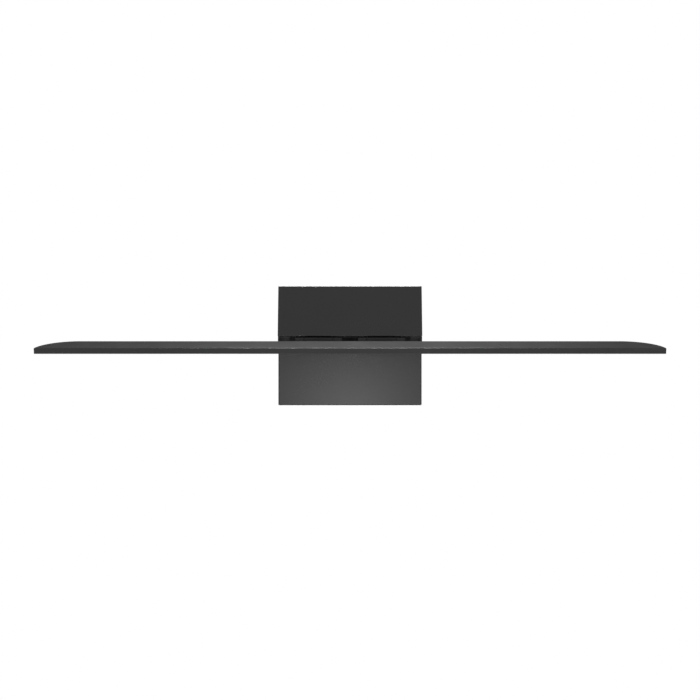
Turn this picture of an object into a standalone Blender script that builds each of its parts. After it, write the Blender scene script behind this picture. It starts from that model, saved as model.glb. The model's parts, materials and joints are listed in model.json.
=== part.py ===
"""Wall-mounted vanity light bar: a shallow canopy with a hooded slot, two friction hinges
and a thin LED bar that tilts.

Units are metres and +Z is up. The wall is the plane Y = 0 and the room is towards -Y, so
"forward" below is a distance from the wall, measured along -Y. The origin is the middle of
the canopy, on the wall. Everything on the bar is modelled level in the frame of the empty
bar_tilt_axis, which then turns it to its rest tilt.
"""

import math

import bmesh
import bpy
from mathutils import Matrix, Vector

# Driving dimensions of the canopy
CANOPY_WIDTH = 0.145
CANOPY_HEIGHT = 0.1205
CANOPY_DEPTH = 0.025
SHEET = 0.0015
GAP = 0.0003
LIP_FORWARD = 0.0375
LIP_HEIGHT = 0.0098
HOOD_TOP_FORWARD = 0.0257
PANEL_THICKNESS = 0.003
SLOT_BOTTOM = -0.0075
CHEEK_STEP = 0.003
EDGE_ROUNDING = 0.001
STUD_RADIUS = 0.0019
STUD_LENGTH = 0.0048
BOSS_RADIUS = 0.004
SIDE_SCREW_FORWARD = 0.008
SIDE_SCREW_HEIGHT = -0.002
HOOD_SCREW_PLACE = (0.040, 0.036)
CROSSBAR_HALF_HEIGHT = 0.011
EAR_LENGTH = 0.0135
EAR_HALF_HEIGHT = 0.007
BOX_SLOT_X = (0.034, 0.045)
BOX_SLOT_HALF_HEIGHT = 0.0024

# Driving dimensions of the hinge
AXIS_FORWARD = 0.028
AXIS_HEIGHT = 0.00214
REST_TILT = math.radians(12)
KNUCKLE_RADIUS = 0.0067
PIN_RADIUS = 0.0025
BUSH_RADIUS = 0.004
HINGE_INNER = 0.0081
HINGE_OUTER = 0.0551
FIXED_KNUCKLE = 0.0084
WASHER_ROOM = 0.0008
RUNNING_GAP = 0.0001
BRACKET_FRONT = 0.0206
BRACKET_LOW = -0.010
BRACKET_HIGH = 0.0135
BRACKET_SCREWS = {"inner": (0.0225, 0.0095), "outer": (0.0405, -0.0055)}

# Flats on round shapes
HOLE_SIDES = 12
BORE_SIDES = 24
KNUCKLE_SIDES = 28

# Driving dimensions of the bar, in its own level frame
BAR_LENGTH = 0.610
BAR_DEPTH = 0.0335
BAR_THICKNESS = 0.0058
CORNER_RADIUS = 0.0385
BAR_FRONT = 0.0574
BAR_TOP = 0.00754
SKIRT = 0.002
POCKET_REAR = 0.0215
POCKET_DEPTH = 0.0043
COVER_SCREW_PITCH = 0.1465
COVER_SCREW_SETBACK = 0.0134
ARM_LOW = -0.0019
ARM_FOOT_FRONT = 0.0352
ARM_SCREW_SPREAD = 0.0125
ARM_SCREW_FORWARD = 0.0296
LEAD_COVER_HALF_WIDTH = 0.0062
LEAD_COVER_FORWARD = (0.0262, 0.0334)

# Heights in the light's pocket, above the bar's underside
DIFFUSER_LAYER = (0.0001, 0.0014)
BOARD_LAYER = (0.0022, 0.0030)
TRAY_LAYER = (0.0032, 0.0041)
BOSS_LAYER = (0.0017, 0.0036)
BOARD_SETBACK = 0.012
BOARD_HALF_WIDTH = 0.006
BOARD_END_GAP = 0.005

# Chassis, driver and wiring inside the canopy
CHASSIS_BACK = 0.0152
CHASSIS_FRONT = 0.0172
CHASSIS_WIDTH = 0.124
CHASSIS_LOW = -0.034
CHASSIS_HIGH = 0.056
STUD_PLACES = {"lower": (0.056, -0.028), "upper": (0.056, 0.050)}
DRIVER_WIDTH = 0.096
DRIVER_LOW = 0.0215
DRIVER_HIGH = 0.0535
DRIVER_BACK = 0.0028
DRIVER_WALL = 0.0012
DRIVER_SCREW_X = 0.0525
DRIVER_SCREW_HEIGHT = 0.030
BOARD_STANDOFF = 0.003
BOARD_THICKNESS = 0.0016
GROUND_PLACE = (0.024, -0.026)
LEAD_RADIUS = 0.0016
CORE_RADIUS = 0.0011

# Pan head screws: head radius, head height, shank radius
SIDE_SCREW = (0.0038, 0.002, 0.0018)
BRACKET_SCREW = (0.003, 0.0018, 0.0014)
HOOD_SCREW = (0.0028, 0.0016, 0.0014)
DRIVER_SCREW = (0.0028, 0.0016, 0.0013)

# Countersunk screws: head radius, head height, shank radius, length
ARM_SCREW = (0.0028, 0.0016, 0.0014, 0.0068)
COVER_SCREW = (0.0019, 0.0009, 0.0009, 0.0040)

HALF_HEIGHT = CANOPY_HEIGHT / 2
HALF_WIDTH = CANOPY_WIDTH / 2
BAR_UNDERSIDE = BAR_TOP - BAR_THICKNESS
BAR_REAR = BAR_FRONT - BAR_DEPTH
ARC_SETBACK = BAR_DEPTH - CORNER_RADIUS
ARC_CENTRE_X = BAR_LENGTH / 2 - math.sqrt(CORNER_RADIUS**2 - ARC_SETBACK**2)
HINGE_SIDES = {"left": -1, "right": 1}
TO_WALL = Vector((0, 1, 0))
UP = Vector((0, 0, 1))

# Planes that an outline is drawn on
SIDE = Matrix(((0, 0, -1), (-1, 0, 0), (0, 1, 0))).to_4x4()
PLAN = Matrix(((1, 0, 0), (0, -1, 0), (0, 0, -1))).to_4x4()
FRONT = Matrix(((1, 0, 0), (0, 0, -1), (0, 1, 0))).to_4x4()

FINISHES = {
    "powder_coat": ((0.028, 0.028, 0.031), 0.48, 0.0),
    "black_steel": ((0.018, 0.018, 0.019), 0.42, 0.6),
    "zinc_steel": ((0.55, 0.56, 0.57), 0.32, 1.0),
    "bare_aluminium": ((0.72, 0.73, 0.74), 0.3, 1.0),
    "opal_acrylic": ((0.86, 0.86, 0.84), 0.35, 0.0),
    "circuit_board": ((0.85, 0.86, 0.85), 0.45, 0.0),
    "driver_plastic": ((0.78, 0.78, 0.76), 0.5, 0.0),
    "acetal": ((0.72, 0.70, 0.64), 0.4, 0.0),
    "black_rubber": ((0.02, 0.02, 0.02), 0.75, 0.0),
    "lead_sheath": ((0.03, 0.03, 0.03), 0.55, 0.0),
    "core_black": ((0.025, 0.025, 0.025), 0.45, 0.0),
    "core_white": ((0.8, 0.8, 0.78), 0.45, 0.0),
    "core_green": ((0.02, 0.28, 0.06), 0.45, 0.0),
    "nut_orange": ((0.75, 0.2, 0.02), 0.5, 0.0),
    "nut_green": ((0.03, 0.32, 0.08), 0.5, 0.0),
}


def at(x, forward, height):
    """The point x to the right, forward of the wall and height above the canopy's middle."""
    return Vector((x, -forward, height))


# Routes of the leads. BAR_LEAD_ROUTE is level, in the frame of the hinge axis.
OUTPUT_ROUTE = [
    at(0, 0.0072, DRIVER_LOW - 0.0005),
    at(0, 0.0072, 0.0160),
    at(0, 0.0073, 0.0105),
    at(0, 0.0086, 0.0057),
    at(0, 0.0112, 0.0030),
    at(0, 0.0140, AXIS_HEIGHT),
    at(0, 0.0175, AXIS_HEIGHT),
    at(0, 0.0215, AXIS_HEIGHT),
    at(0, 0.0254, AXIS_HEIGHT),
]
BAR_LEAD_ROUTE = [
    at(0, 0.0026, 0),
    at(0, 0.0080, -0.0001),
    at(0, 0.0130, 0.0007),
    at(0, 0.0185, 0.0027),
    at(0, 0.0240, 0.0036),
    at(0, 0.0300, 0.0037),
    at(0, 0.0352, 0.0037),
]
LIVE_ROUTE = [
    at(-DRIVER_WIDTH / 2 - GAP, 0.0068, 0.0410),
    at(-0.0530, 0.0066, 0.0395),
    at(-0.0575, 0.0062, 0.0330),
    at(-0.0588, 0.0062, 0.0200),
    at(-0.0588, 0.0066, 0.0020),
    at(-0.0580, 0.0074, -0.0110),
    at(-0.0555, 0.0078, -0.0180),
    at(-0.0505, 0.0078, -0.0205),
    at(-0.0460, 0.0078, -0.0205),
]
NEUTRAL_ROUTE = [
    at(-DRIVER_WIDTH / 2 - GAP, 0.0068, 0.0490),
    at(-0.0545, 0.0068, 0.0485),
    at(-0.0610, 0.0070, 0.0430),
    at(-0.0632, 0.0074, 0.0300),
    at(-0.0640, 0.0078, 0.0100),
    at(-0.0642, 0.0078, -0.0110),
    at(-0.0640, 0.0074, -0.0260),
    at(-0.0605, 0.0074, -0.0355),
    at(-0.0530, 0.0078, -0.0385),
    at(-0.0460, 0.0078, -0.0385),
]
GROUND_ROUTE = [
    at(GROUND_PLACE[0] + 0.0045, 0.0125, GROUND_PLACE[1] - 0.0005),
    at(0.0330, 0.0122, -0.0275),
    at(0.0385, 0.0110, -0.0310),
    at(0.0405, 0.0095, -0.0360),
    at(0.0380, 0.0084, -0.0405),
    at(0.0330, 0.0078, -0.0420),
    at(0.0280, 0.0078, -0.0420),
]


# Scene, collections and materials


def clear_scene():
    for obj in list(bpy.data.objects):
        bpy.data.objects.remove(obj)


def new_collection(name):
    collection = bpy.data.collections.new(name)
    bpy.context.scene.collection.children.link(collection)
    return collection


def finish_material(name):
    """The Principled material of one finish, made the first time that it is asked for."""
    if name in bpy.data.materials:
        return bpy.data.materials[name]
    colour, roughness, metallic = FINISHES[name]
    material = bpy.data.materials.new(name)
    material.use_nodes = True
    shader = material.node_tree.nodes["Principled BSDF"]
    shader.inputs["Base Color"].default_value = (*colour, 1)
    shader.inputs["Roughness"].default_value = roughness
    shader.inputs["Metallic"].default_value = metallic
    material.diffuse_color = (*colour, 1)
    return material


def file_away(obj, name, collection, parent=None):
    """Names the object, puts it in the collection only and hangs it on its parent."""
    obj.name = name
    obj.data.name = name
    for holder in list(obj.users_collection):
        holder.objects.unlink(obj)
    collection.objects.link(obj)
    if parent:
        obj.parent = parent
    return obj


def make_part(obj, name, finish, parent=None):
    """Makes the object a named sub-part with its own material."""
    file_away(obj, name, PARTS, parent)
    obj.data.materials.clear()
    material = finish_material(finish).copy()
    material.name = f"{name}_{finish}"
    obj.data.materials.append(material)
    if obj.type == "MESH":
        obj.data.shade_smooth()
        obj.data.set_sharp_from_angle(angle=math.radians(35))
    return obj


def make_cutter(obj, name, parent=None):
    file_away(obj, name, CUTTERS, parent)
    obj.hide_render = True
    obj.display_type = "WIRE"
    return obj


# Shapes


def meshed(curve_object):
    """The curve as a welded mesh object in the same place. The curve is removed."""
    graph = bpy.context.evaluated_depsgraph_get()
    mesh = bpy.data.meshes.new_from_object(curve_object.evaluated_get(graph))
    body = bmesh.new()
    body.from_mesh(mesh)
    bmesh.ops.remove_doubles(body, verts=body.verts, dist=1e-6)
    bmesh.ops.recalc_face_normals(body, faces=body.faces)
    body.to_mesh(mesh)
    body.free()
    obj = bpy.data.objects.new(curve_object.name, mesh)
    bpy.context.scene.collection.objects.link(obj)
    obj.matrix_world = curve_object.matrix_world
    bpy.data.objects.remove(curve_object)
    return obj


def extruded(outline, facing, low, high):
    """A flat outline given its thickness, from low to high along the facing's own axis."""
    curve = bpy.data.curves.new("outline", "CURVE")
    curve.dimensions = "2D"
    curve.fill_mode = "BOTH"
    curve.extrude = (high - low) / 2
    spline = curve.splines.new("POLY")
    spline.points.add(len(outline) - 1)
    for point, (u, v) in zip(spline.points, outline):
        point.co = (u, v, 0, 1)
    spline.use_cyclic_u = True
    obj = bpy.data.objects.new("outline", curve)
    bpy.context.scene.collection.objects.link(obj)
    # SIDE is extruded along +X, PLAN along +Z and FRONT forward, along -Y.
    axis = {"SIDE": (1, 0, 0), "PLAN": (0, 0, 1), "FRONT": (0, -1, 0)}[facing]
    turn = {"SIDE": SIDE, "PLAN": PLAN, "FRONT": FRONT}[facing]
    obj.matrix_world = Matrix.Translation(Vector(axis) * (low + high) / 2) @ turn
    bpy.context.view_layer.update()
    return meshed(obj)


def block(x_range, forward_range, height_range):
    """A box between two values of x, of forward and of height."""
    low = at(x_range[0], forward_range[1], height_range[0])
    high = at(x_range[1], forward_range[0], height_range[1])
    bpy.ops.mesh.primitive_cube_add(size=1, location=(low + high) / 2)
    obj = bpy.context.object
    obj.scale = high - low
    bpy.ops.object.transform_apply(location=False, rotation=False, scale=True)
    return obj


def rod(start, end, radius, sides=HOLE_SIDES):
    """A cylinder from start to end."""
    along = end - start
    bpy.ops.mesh.primitive_cylinder_add(
        vertices=sides,
        radius=radius,
        depth=along.length,
        location=(start + end) / 2,
        rotation=along.to_track_quat("Z", "Y").to_euler(),
    )
    return bpy.context.object


def turned(profile, place, direction, sides=HOLE_SIDES):
    """A profile of (radius, distance) spun round direction; it runs from the far end back."""
    mesh = bpy.data.meshes.new("turned")
    points = [(radius, 0, distance) for radius, distance in profile]
    mesh.from_pydata(points, [(i, i + 1) for i in range(len(points) - 1)], [])
    obj = bpy.data.objects.new("turned", mesh)
    bpy.context.scene.collection.objects.link(obj)
    screw = obj.modifiers.new("spin", "SCREW")
    screw.steps = sides
    screw.render_steps = sides
    screw.use_merge_vertices = True
    screw.merge_threshold = 1e-5
    obj.rotation_euler = direction.to_track_quat("Z", "Y").to_euler()
    obj.location = place
    return obj


def tube(route, radius):
    """A wire of that radius along a smooth curve through the route's points."""
    curve = bpy.data.curves.new("wire", "CURVE")
    curve.dimensions = "3D"
    curve.bevel_depth = radius
    curve.bevel_resolution = 2
    curve.use_fill_caps = True
    points = smooth_route(route)
    spline = curve.splines.new("POLY")
    spline.points.add(len(points) - 1)
    for point, place in zip(spline.points, points):
        point.co = (*place, 1)
    obj = bpy.data.objects.new("wire", curve)
    bpy.context.scene.collection.objects.link(obj)
    return obj


def smooth_route(route, steps=3):
    """Points along a Catmull-Rom curve through the route."""
    ends = [2 * route[0] - route[1], *route, 2 * route[-1] - route[-2]]
    points = []
    for a, b, c, d in zip(ends, ends[1:], ends[2:], ends[3:]):
        for step in range(steps):
            t = step / steps
            points.append(
                0.5 * ((2 * b) + (c - a) * t + (2 * a - 5 * b + 4 * c - d) * t**2
                       + (3 * b - a - 3 * c + d) * t**3)
            )
    return [*points, route[-1]]


def boolean(target, other, operation):
    modifier = target.modifiers.new(f"{operation.lower()}_{other.name}", "BOOLEAN")
    modifier.operation = operation
    modifier.solver = "EXACT"
    modifier.object = other


def cut(target, tool, name):
    """Cuts the tool out of the target. The tool keeps the target's parent."""
    make_cutter(tool, name, target.parent)
    boolean(target, tool, "DIFFERENCE")


def add(target, piece, name):
    """Joins the piece to the target as one body."""
    make_cutter(piece, name, target.parent)
    boolean(target, piece, "UNION")


def rounded(obj, width, segments=1, angle=30):
    bevel = obj.modifiers.new("edges", "BEVEL")
    bevel.width = width
    bevel.segments = segments
    bevel.limit_method = "ANGLE"
    bevel.angle_limit = math.radians(angle)
    bevel.use_clamp_overlap = True


def rounded_but_back(obj, width, segments, back):
    """Rounds the sharp edges of the object, except those that lie at that distance forward."""
    shape = bmesh.new()
    shape.from_mesh(obj.data)
    weights = [0.0] * len(shape.edges)
    for edge in shape.edges:
        ends = [-(obj.matrix_world @ vertex.co).y for vertex in edge.verts]
        at_back = all(abs(end - back) < 1e-6 for end in ends)
        sharp = edge.calc_face_angle(0) > math.radians(10)
        weights[edge.index] = 1.0 if sharp and not at_back else 0.0
    shape.free()
    layer = obj.data.attributes.new("bevel_weight_edge", "FLOAT", "EDGE")
    layer.data.foreach_set("value", weights)
    bevel = obj.modifiers.new("edges", "BEVEL")
    bevel.width = width
    bevel.segments = segments
    bevel.limit_method = "WEIGHT"


# Fasteners


def pan_screw(name, size, length, place, outward):
    """A pan head screw whose head's underside is at place."""
    head_radius, head_height, shank_radius = size
    profile = [
        (0, head_height),
        (head_radius * 0.72, head_height),
        (head_radius, head_height * 0.55),
        (head_radius, 0),
        (shank_radius, 0),
        (shank_radius, -length),
        (0, -length),
    ]
    return make_part(turned(profile, place, outward), name, "zinc_steel")


def flat_screw_profile(head_radius, head_height, shank_radius, length, grow=0.0):
    """A countersunk screw's profile, its head's flat face at 0. grow makes its hole."""
    return [
        (0, grow * 2),
        (head_radius + grow, grow * 2),
        (head_radius + grow, -grow),
        (shank_radius + grow, -head_height - grow),
        (shank_radius + grow, -length - grow),
        (0, -length - grow),
    ]


def nut_on_stud(x, height, name):
    """A hexagon nut on the back of the chassis."""
    back = CHASSIS_BACK - GAP
    nut = rod(at(x, back - 0.003, height), at(x, back, height), 0.004, 6)
    make_part(nut, name, "zinc_steel")
    bore = rod(at(x, back - 0.005, height), at(x, back + 0.002, height), 0.0021)
    cut(nut, bore, f"{name}_bore")


# Canopy


class Slope:
    """The straight line of the hood's face in side view, and lines parallel to it."""

    lip = Vector((LIP_FORWARD, LIP_HEIGHT))
    top = Vector((HOOD_TOP_FORWARD, HALF_HEIGHT))
    run = (top - lip).normalized()
    normal = Vector((run.y, -run.x))

    @classmethod
    def at_height(cls, height, depth):
        """(forward, height) on the line that lies depth behind the hood's face."""
        start = cls.lip - cls.normal * depth
        travel = (height - start.y) / cls.run.y
        return tuple(start + cls.run * travel)

    @classmethod
    def at_forward(cls, forward, depth):
        start = cls.lip - cls.normal * depth
        travel = (forward - start.x) / cls.run.x
        return tuple(start + cls.run * travel)


def canopy_cover():
    """Folded steel cover: flat lower face, stepped cheeks and a sloping face behind the panel."""
    seat = PANEL_THICKNESS + GAP
    cheek = LIP_FORWARD - PANEL_THICKNESS - GAP
    step_top = SLOT_BOTTOM + CHEEK_STEP
    outline = [
        (GAP, -HALF_HEIGHT),
        (CANOPY_DEPTH, -HALF_HEIGHT),
        (CANOPY_DEPTH, SLOT_BOTTOM),
        (cheek, step_top),
        Slope.at_forward(cheek, seat),
        Slope.at_height(HALF_HEIGHT, seat),
        (GAP, HALF_HEIGHT),
    ]
    cover = extruded(outline, "SIDE", -HALF_WIDTH, HALF_WIDTH)
    make_part(cover, "canopy_cover", "powder_coat")
    rounded_but_back(cover, EDGE_ROUNDING, 2, GAP)

    overrun = 0.008
    inside = HALF_HEIGHT - SHEET
    mouth = LIP_HEIGHT + 0.0005
    hollow = [
        (-overrun, -inside),
        (CANOPY_DEPTH - SHEET, -inside),
        (CANOPY_DEPTH - SHEET, SLOT_BOTTOM),
        (2 * CANOPY_DEPTH, SLOT_BOTTOM),
        (2 * CANOPY_DEPTH, mouth),
        Slope.at_height(mouth, seat + SHEET),
        Slope.at_height(inside, seat + SHEET),
        (-overrun, inside),
    ]
    cavity = extruded(hollow, "SIDE", SHEET - HALF_WIDTH, HALF_WIDTH - SHEET)
    make_cutter(cavity, "cover_cavity")
    for level, (x, height) in STUD_PLACES.items():
        for side, sign in HINGE_SIDES.items():
            start = at(sign * x, CHASSIS_FRONT + GAP, height)
            boss = rod(start, at(sign * x, 2 * CANOPY_DEPTH, height), BOSS_RADIUS)
            cut(cavity, boss, f"{level}_{side}_boss")
    boolean(cover, cavity, "DIFFERENCE")
    for level, (x, height) in STUD_PLACES.items():
        for side, sign in HINGE_SIDES.items():
            tip = at(sign * x, CHASSIS_BACK - STUD_LENGTH, height)
            stud = rod(tip, at(sign * x, CHASSIS_FRONT + 0.002, height), STUD_RADIUS)
            add(cover, stud, f"{level}_{side}_stud")
    for side, sign in HINGE_SIDES.items():
        near = at(sign * (HALF_WIDTH - 0.006), SIDE_SCREW_FORWARD, SIDE_SCREW_HEIGHT)
        far = at(sign * (HALF_WIDTH + 0.006), SIDE_SCREW_FORWARD, SIDE_SCREW_HEIGHT)
        cut(cover, rod(near, far, 0.0023), f"cover_{side}_screw_hole")
    for side, place, outward in hood_screw_places():
        hole = rod(place - outward * 0.004, place + outward * 0.004, 0.0018)
        cut(cover, hole, f"cover_{side}_hood_hole")


def hood_screw_places():
    """(side, point on the inner face of the cover's slope, direction into the hood panel)."""
    x, level = HOOD_SCREW_PLACE
    forward, height = Slope.at_height(level, PANEL_THICKNESS + GAP + SHEET)
    outward = at(0, Slope.normal.x, Slope.normal.y)
    for side, sign in HINGE_SIDES.items():
        yield side, at(sign * x, forward, height), outward


def hood_panel():
    """Thick flat panel on the sloping face. Its lower edge is the lip over the slot."""
    foot = Slope.lip - Slope.normal * PANEL_THICKNESS
    outline = [
        tuple(Slope.lip),
        tuple(Slope.top),
        Slope.at_height(HALF_HEIGHT, PANEL_THICKNESS),
        tuple(foot),
    ]
    panel = extruded(outline, "SIDE", -HALF_WIDTH, HALF_WIDTH)
    make_part(panel, "hood_panel", "powder_coat")
    rounded(panel, 0.0007, 2)
    for side, place, outward in hood_screw_places():
        reach = SHEET + GAP + 0.0022
        hole = rod(place, place + outward * reach, 0.0016)
        cut(panel, hole, f"panel_{side}_hole")
        length = reach - 0.0003
        pan_screw(f"hood_screw_{side}", HOOD_SCREW, length, place - outward * GAP, -outward)


def crossbar():
    """Steel strap against the wall, with an ear at each end for the cover's side screws."""
    half = HALF_WIDTH - SHEET - GAP
    strap = block((-half, half), (0, SHEET), (-CROSSBAR_HALF_HEIGHT, CROSSBAR_HALF_HEIGHT))
    make_part(strap, "crossbar", "zinc_steel")
    for side, sign in HINGE_SIDES.items():
        x_range = sorted((sign * half, sign * (half - SHEET)))
        height = SIDE_SCREW_HEIGHT
        ear = block(x_range, (0, EAR_LENGTH), (height - EAR_HALF_HEIGHT, height + EAR_HALF_HEIGHT))
        add(strap, ear, f"crossbar_{side}_ear")
        start = at(sign * (half - 0.005), SIDE_SCREW_FORWARD, height)
        tap = rod(start, at(sign * (half + 0.005), SIDE_SCREW_FORWARD, height), 0.0021)
        cut(strap, tap, f"crossbar_{side}_tap")
        slot_span = sorted(sign * x for x in BOX_SLOT_X)
        slot = block(slot_span, (-0.01, 0.01), (-BOX_SLOT_HALF_HEIGHT, BOX_SLOT_HALF_HEIGHT))
        rounded(slot, BOX_SLOT_HALF_HEIGHT - 0.0001, 4)
        cut(strap, slot, f"crossbar_{side}_slot")
        place = at(sign * (HALF_WIDTH + GAP), SIDE_SCREW_FORWARD, height)
        pan_screw(f"side_screw_{side}", SIDE_SCREW, 0.0056, place, Vector((sign, 0, 0)))


def chassis_plate():
    """Steel plate behind the cover's face that carries the hinges and the driver."""
    half = CHASSIS_WIDTH / 2
    corner = 0.004
    outline = [
        (sx * (half - a), z + sz * b)
        for sx, sz, z, (a, b) in [
            (-1, 1, CHASSIS_LOW, (0, corner)),
            (-1, 1, CHASSIS_LOW, (corner, 0)),
            (1, 1, CHASSIS_LOW, (corner, 0)),
            (1, 1, CHASSIS_LOW, (0, corner)),
            (1, -1, CHASSIS_HIGH, (0, corner)),
            (1, -1, CHASSIS_HIGH, (corner, 0)),
            (-1, -1, CHASSIS_HIGH, (corner, 0)),
            (-1, -1, CHASSIS_HIGH, (0, corner)),
        ]
    ]
    plate = extruded(outline, "FRONT", CHASSIS_BACK, CHASSIS_FRONT)
    make_part(plate, "chassis_plate", "black_steel")

    def drill(x, height, radius, name):
        start, end = at(x, CHASSIS_BACK - 0.003, height), at(x, CHASSIS_FRONT + 0.003, height)
        cut(plate, rod(start, end, radius), name)

    drill(0, AXIS_HEIGHT, 0.004, "chassis_lead_hole")
    drill(*GROUND_PLACE, 0.0018, "chassis_ground_tap")
    for side, sign in HINGE_SIDES.items():
        for level, (x, height) in STUD_PLACES.items():
            drill(sign * x, height, 0.0022, f"chassis_{level}_{side}_hole")
            nut_on_stud(sign * x, height, f"chassis_nut_{level}_{side}")
        for rank, (x, height) in BRACKET_SCREWS.items():
            drill(sign * x, height, 0.0019, f"chassis_{rank}_{side}_hole")
        drill(sign * DRIVER_SCREW_X, DRIVER_SCREW_HEIGHT, 0.0016, f"chassis_driver_{side}_tap")


def cable_grommet():
    """Rubber ring that lines the lead's hole in the chassis."""
    back, front = CHASSIS_BACK - GAP, CHASSIS_FRONT + GAP
    bore, neck, flange, lip = LEAD_RADIUS + GAP, 0.004 - GAP, 0.0052, 0.001
    profile = [
        (bore, front + lip),
        (flange, front + lip),
        (flange, front),
        (neck, front),
        (neck, back),
        (flange, back),
        (flange, back - lip),
        (bore, back - lip),
        (bore, front + lip),
    ]
    ring = turned(profile, at(0, 0, AXIS_HEIGHT), Vector((0, -1, 0)), 16)
    make_part(ring, "cable_grommet", "black_rubber")


# Hinges


def hinge_bracket(side, sign):
    """Fixed half of one hinge: a base on the chassis and a knuckle at each end."""
    name = f"hinge_bracket_{side}"
    x_range = sorted((sign * HINGE_INNER, sign * HINGE_OUTER))
    base = (CHASSIS_FRONT + GAP, BRACKET_FRONT)
    bracket = block(x_range, base, (BRACKET_LOW, BRACKET_HIGH))
    make_part(bracket, name, "black_steel")
    for end, near in (("inner", HINGE_INNER), ("outer", HINGE_OUTER - FIXED_KNUCKLE)):
        span = sorted((sign * near, sign * (near + FIXED_KNUCKLE)))
        low, high = AXIS_HEIGHT - KNUCKLE_RADIUS * 0.85, AXIS_HEIGHT + KNUCKLE_RADIUS * 0.85
        web = block(span, (BRACKET_FRONT - 0.001, AXIS_FORWARD), (low, high))
        add(bracket, web, f"{name}_{end}_web")
        knuckle = rod(on_axis(span[0]), on_axis(span[1]), KNUCKLE_RADIUS, KNUCKLE_SIDES)
        add(bracket, knuckle, f"{name}_{end}_knuckle")
    bore = rod(on_axis(sign * 0.001), on_axis(sign * 0.065), PIN_RADIUS + RUNNING_GAP, BORE_SIDES)
    cut(bracket, bore, f"{name}_bore")
    for rank, (x, height) in BRACKET_SCREWS.items():
        tap = rod(at(sign * x, 0.01, height), at(sign * x, BRACKET_FRONT - 0.0005, height), 0.0016)
        cut(bracket, tap, f"{name}_{rank}_tap")
        place = at(sign * x, CHASSIS_BACK - GAP, height)
        length = BRACKET_FRONT - 0.0009 - CHASSIS_BACK
        pan_screw(f"bracket_screw_{rank}_{side}", BRACKET_SCREW, length, place, TO_WALL)


def on_axis(x):
    return at(x, AXIS_FORWARD, AXIS_HEIGHT)


def hinge_pin(side, sign):
    ends = sorted((sign * (HINGE_INNER + GAP), sign * (HINGE_OUTER - GAP)))
    pin = rod(on_axis(ends[0]), on_axis(ends[1]), PIN_RADIUS, BORE_SIDES)
    make_part(pin, f"hinge_pin_{side}", "zinc_steel")


def moving_span(sign):
    """The x range of the moving knuckle, between the washers."""
    low = HINGE_INNER + FIXED_KNUCKLE + WASHER_ROOM
    high = HINGE_OUTER - FIXED_KNUCKLE - WASHER_ROOM
    return sorted((sign * low, sign * high))


def thrust_washers(side, sign):
    """A plain washer on the pin at each end of the moving knuckle."""
    thickness = WASHER_ROOM - 4 * RUNNING_GAP
    places = {
        "inner": HINGE_INNER + FIXED_KNUCKLE + WASHER_ROOM / 2,
        "outer": HINGE_OUTER - FIXED_KNUCKLE - WASHER_ROOM / 2,
    }
    for end, x in places.items():
        start, finish = on_axis(sign * (x - thickness / 2)), on_axis(sign * (x + thickness / 2))
        washer = rod(start, finish, KNUCKLE_RADIUS - 0.0007, BORE_SIDES)
        name = f"thrust_washer_{end}_{side}"
        make_part(washer, name, "acetal")
        ends = on_axis(sign * (x - 0.002)), on_axis(sign * (x + 0.002))
        bore = rod(*ends, PIN_RADIUS + RUNNING_GAP, BORE_SIDES)
        cut(washer, bore, f"{name}_bore")


# The bar, level, in the frame of bar_tilt_axis. Here forward and height are from the axis.


def bar_arm(side, sign, pivot):
    """Arm from the moving knuckle to a foot under the bar's rear edge."""
    name = f"arm_{side}"
    low, high = moving_span(sign)
    thickness = (ARM_LOW, BAR_UNDERSIDE - 0.00024)
    arm = block((low, high), (0, 0.030), thickness)
    make_part(arm, name, "powder_coat", pivot)
    foot_span = sorted((sign * (HINGE_INNER + 0.0016), sign * (HINGE_OUTER - 0.0016)))
    foot = block(foot_span, (BAR_REAR + 0.0004, ARM_FOOT_FRONT), thickness)
    rounded(foot, 0.0015, 2, 60)
    add(arm, foot, f"{name}_foot")
    knuckle = rod(Vector((low, 0, 0)), Vector((high, 0, 0)), KNUCKLE_RADIUS, KNUCKLE_SIDES)
    add(arm, knuckle, f"{name}_knuckle")
    bore_ends = Vector((low - 0.01, 0, 0)), Vector((high + 0.01, 0, 0))
    cut(arm, rod(*bore_ends, BUSH_RADIUS + RUNNING_GAP, BORE_SIDES), f"{name}_bore")
    centre = (low + high) / 2
    for rank, offset in (("left", -ARM_SCREW_SPREAD), ("right", ARM_SCREW_SPREAD)):
        place = at(centre + offset, ARM_SCREW_FORWARD, ARM_LOW)
        hole = turned(flat_screw_profile(*ARM_SCREW, grow=0.0002), place, -UP)
        cut(arm, hole, f"{name}_{rank}_hole")
        screw = turned(flat_screw_profile(*ARM_SCREW), place, -UP)
        make_part(screw, f"arm_screw_{side}_{rank}", "zinc_steel", pivot)


def friction_bush(side, sign, pivot):
    low, high = moving_span(sign)
    bush = rod(Vector((low + GAP, 0, 0)), Vector((high - GAP, 0, 0)), BUSH_RADIUS, BORE_SIDES)
    make_part(bush, f"friction_bush_{side}", "acetal", pivot)
    ends = Vector((low - 0.01, 0, 0)), Vector((high + 0.01, 0, 0))
    cut(bush, rod(*ends, PIN_RADIUS + RUNNING_GAP, BORE_SIDES), f"friction_bush_{side}_bore")


def bar_outline(inset, rear=BAR_DEPTH, arc_steps=12):
    """(x, forward) round the bar's plan, inset from its edge and cut off at rear."""
    radius = CORNER_RADIUS - inset
    rear = min(rear, BAR_DEPTH - inset)
    first = math.asin((inset - ARC_SETBACK) / radius)
    last = math.asin(min(1, (rear - ARC_SETBACK) / radius))
    angles = [first + (last - first) * step / arc_steps for step in range(arc_steps + 1)]
    right = [
        (ARC_CENTRE_X + radius * math.cos(a), BAR_FRONT - ARC_SETBACK - radius * math.sin(a))
        for a in angles
    ]
    return right + [(-x, forward) for x, forward in reversed(right)]


def cover_screw_places():
    forward = BAR_FRONT - COVER_SCREW_SETBACK
    for number in range(-2, 3):
        yield number + 3, number * COVER_SCREW_PITCH, forward


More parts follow.
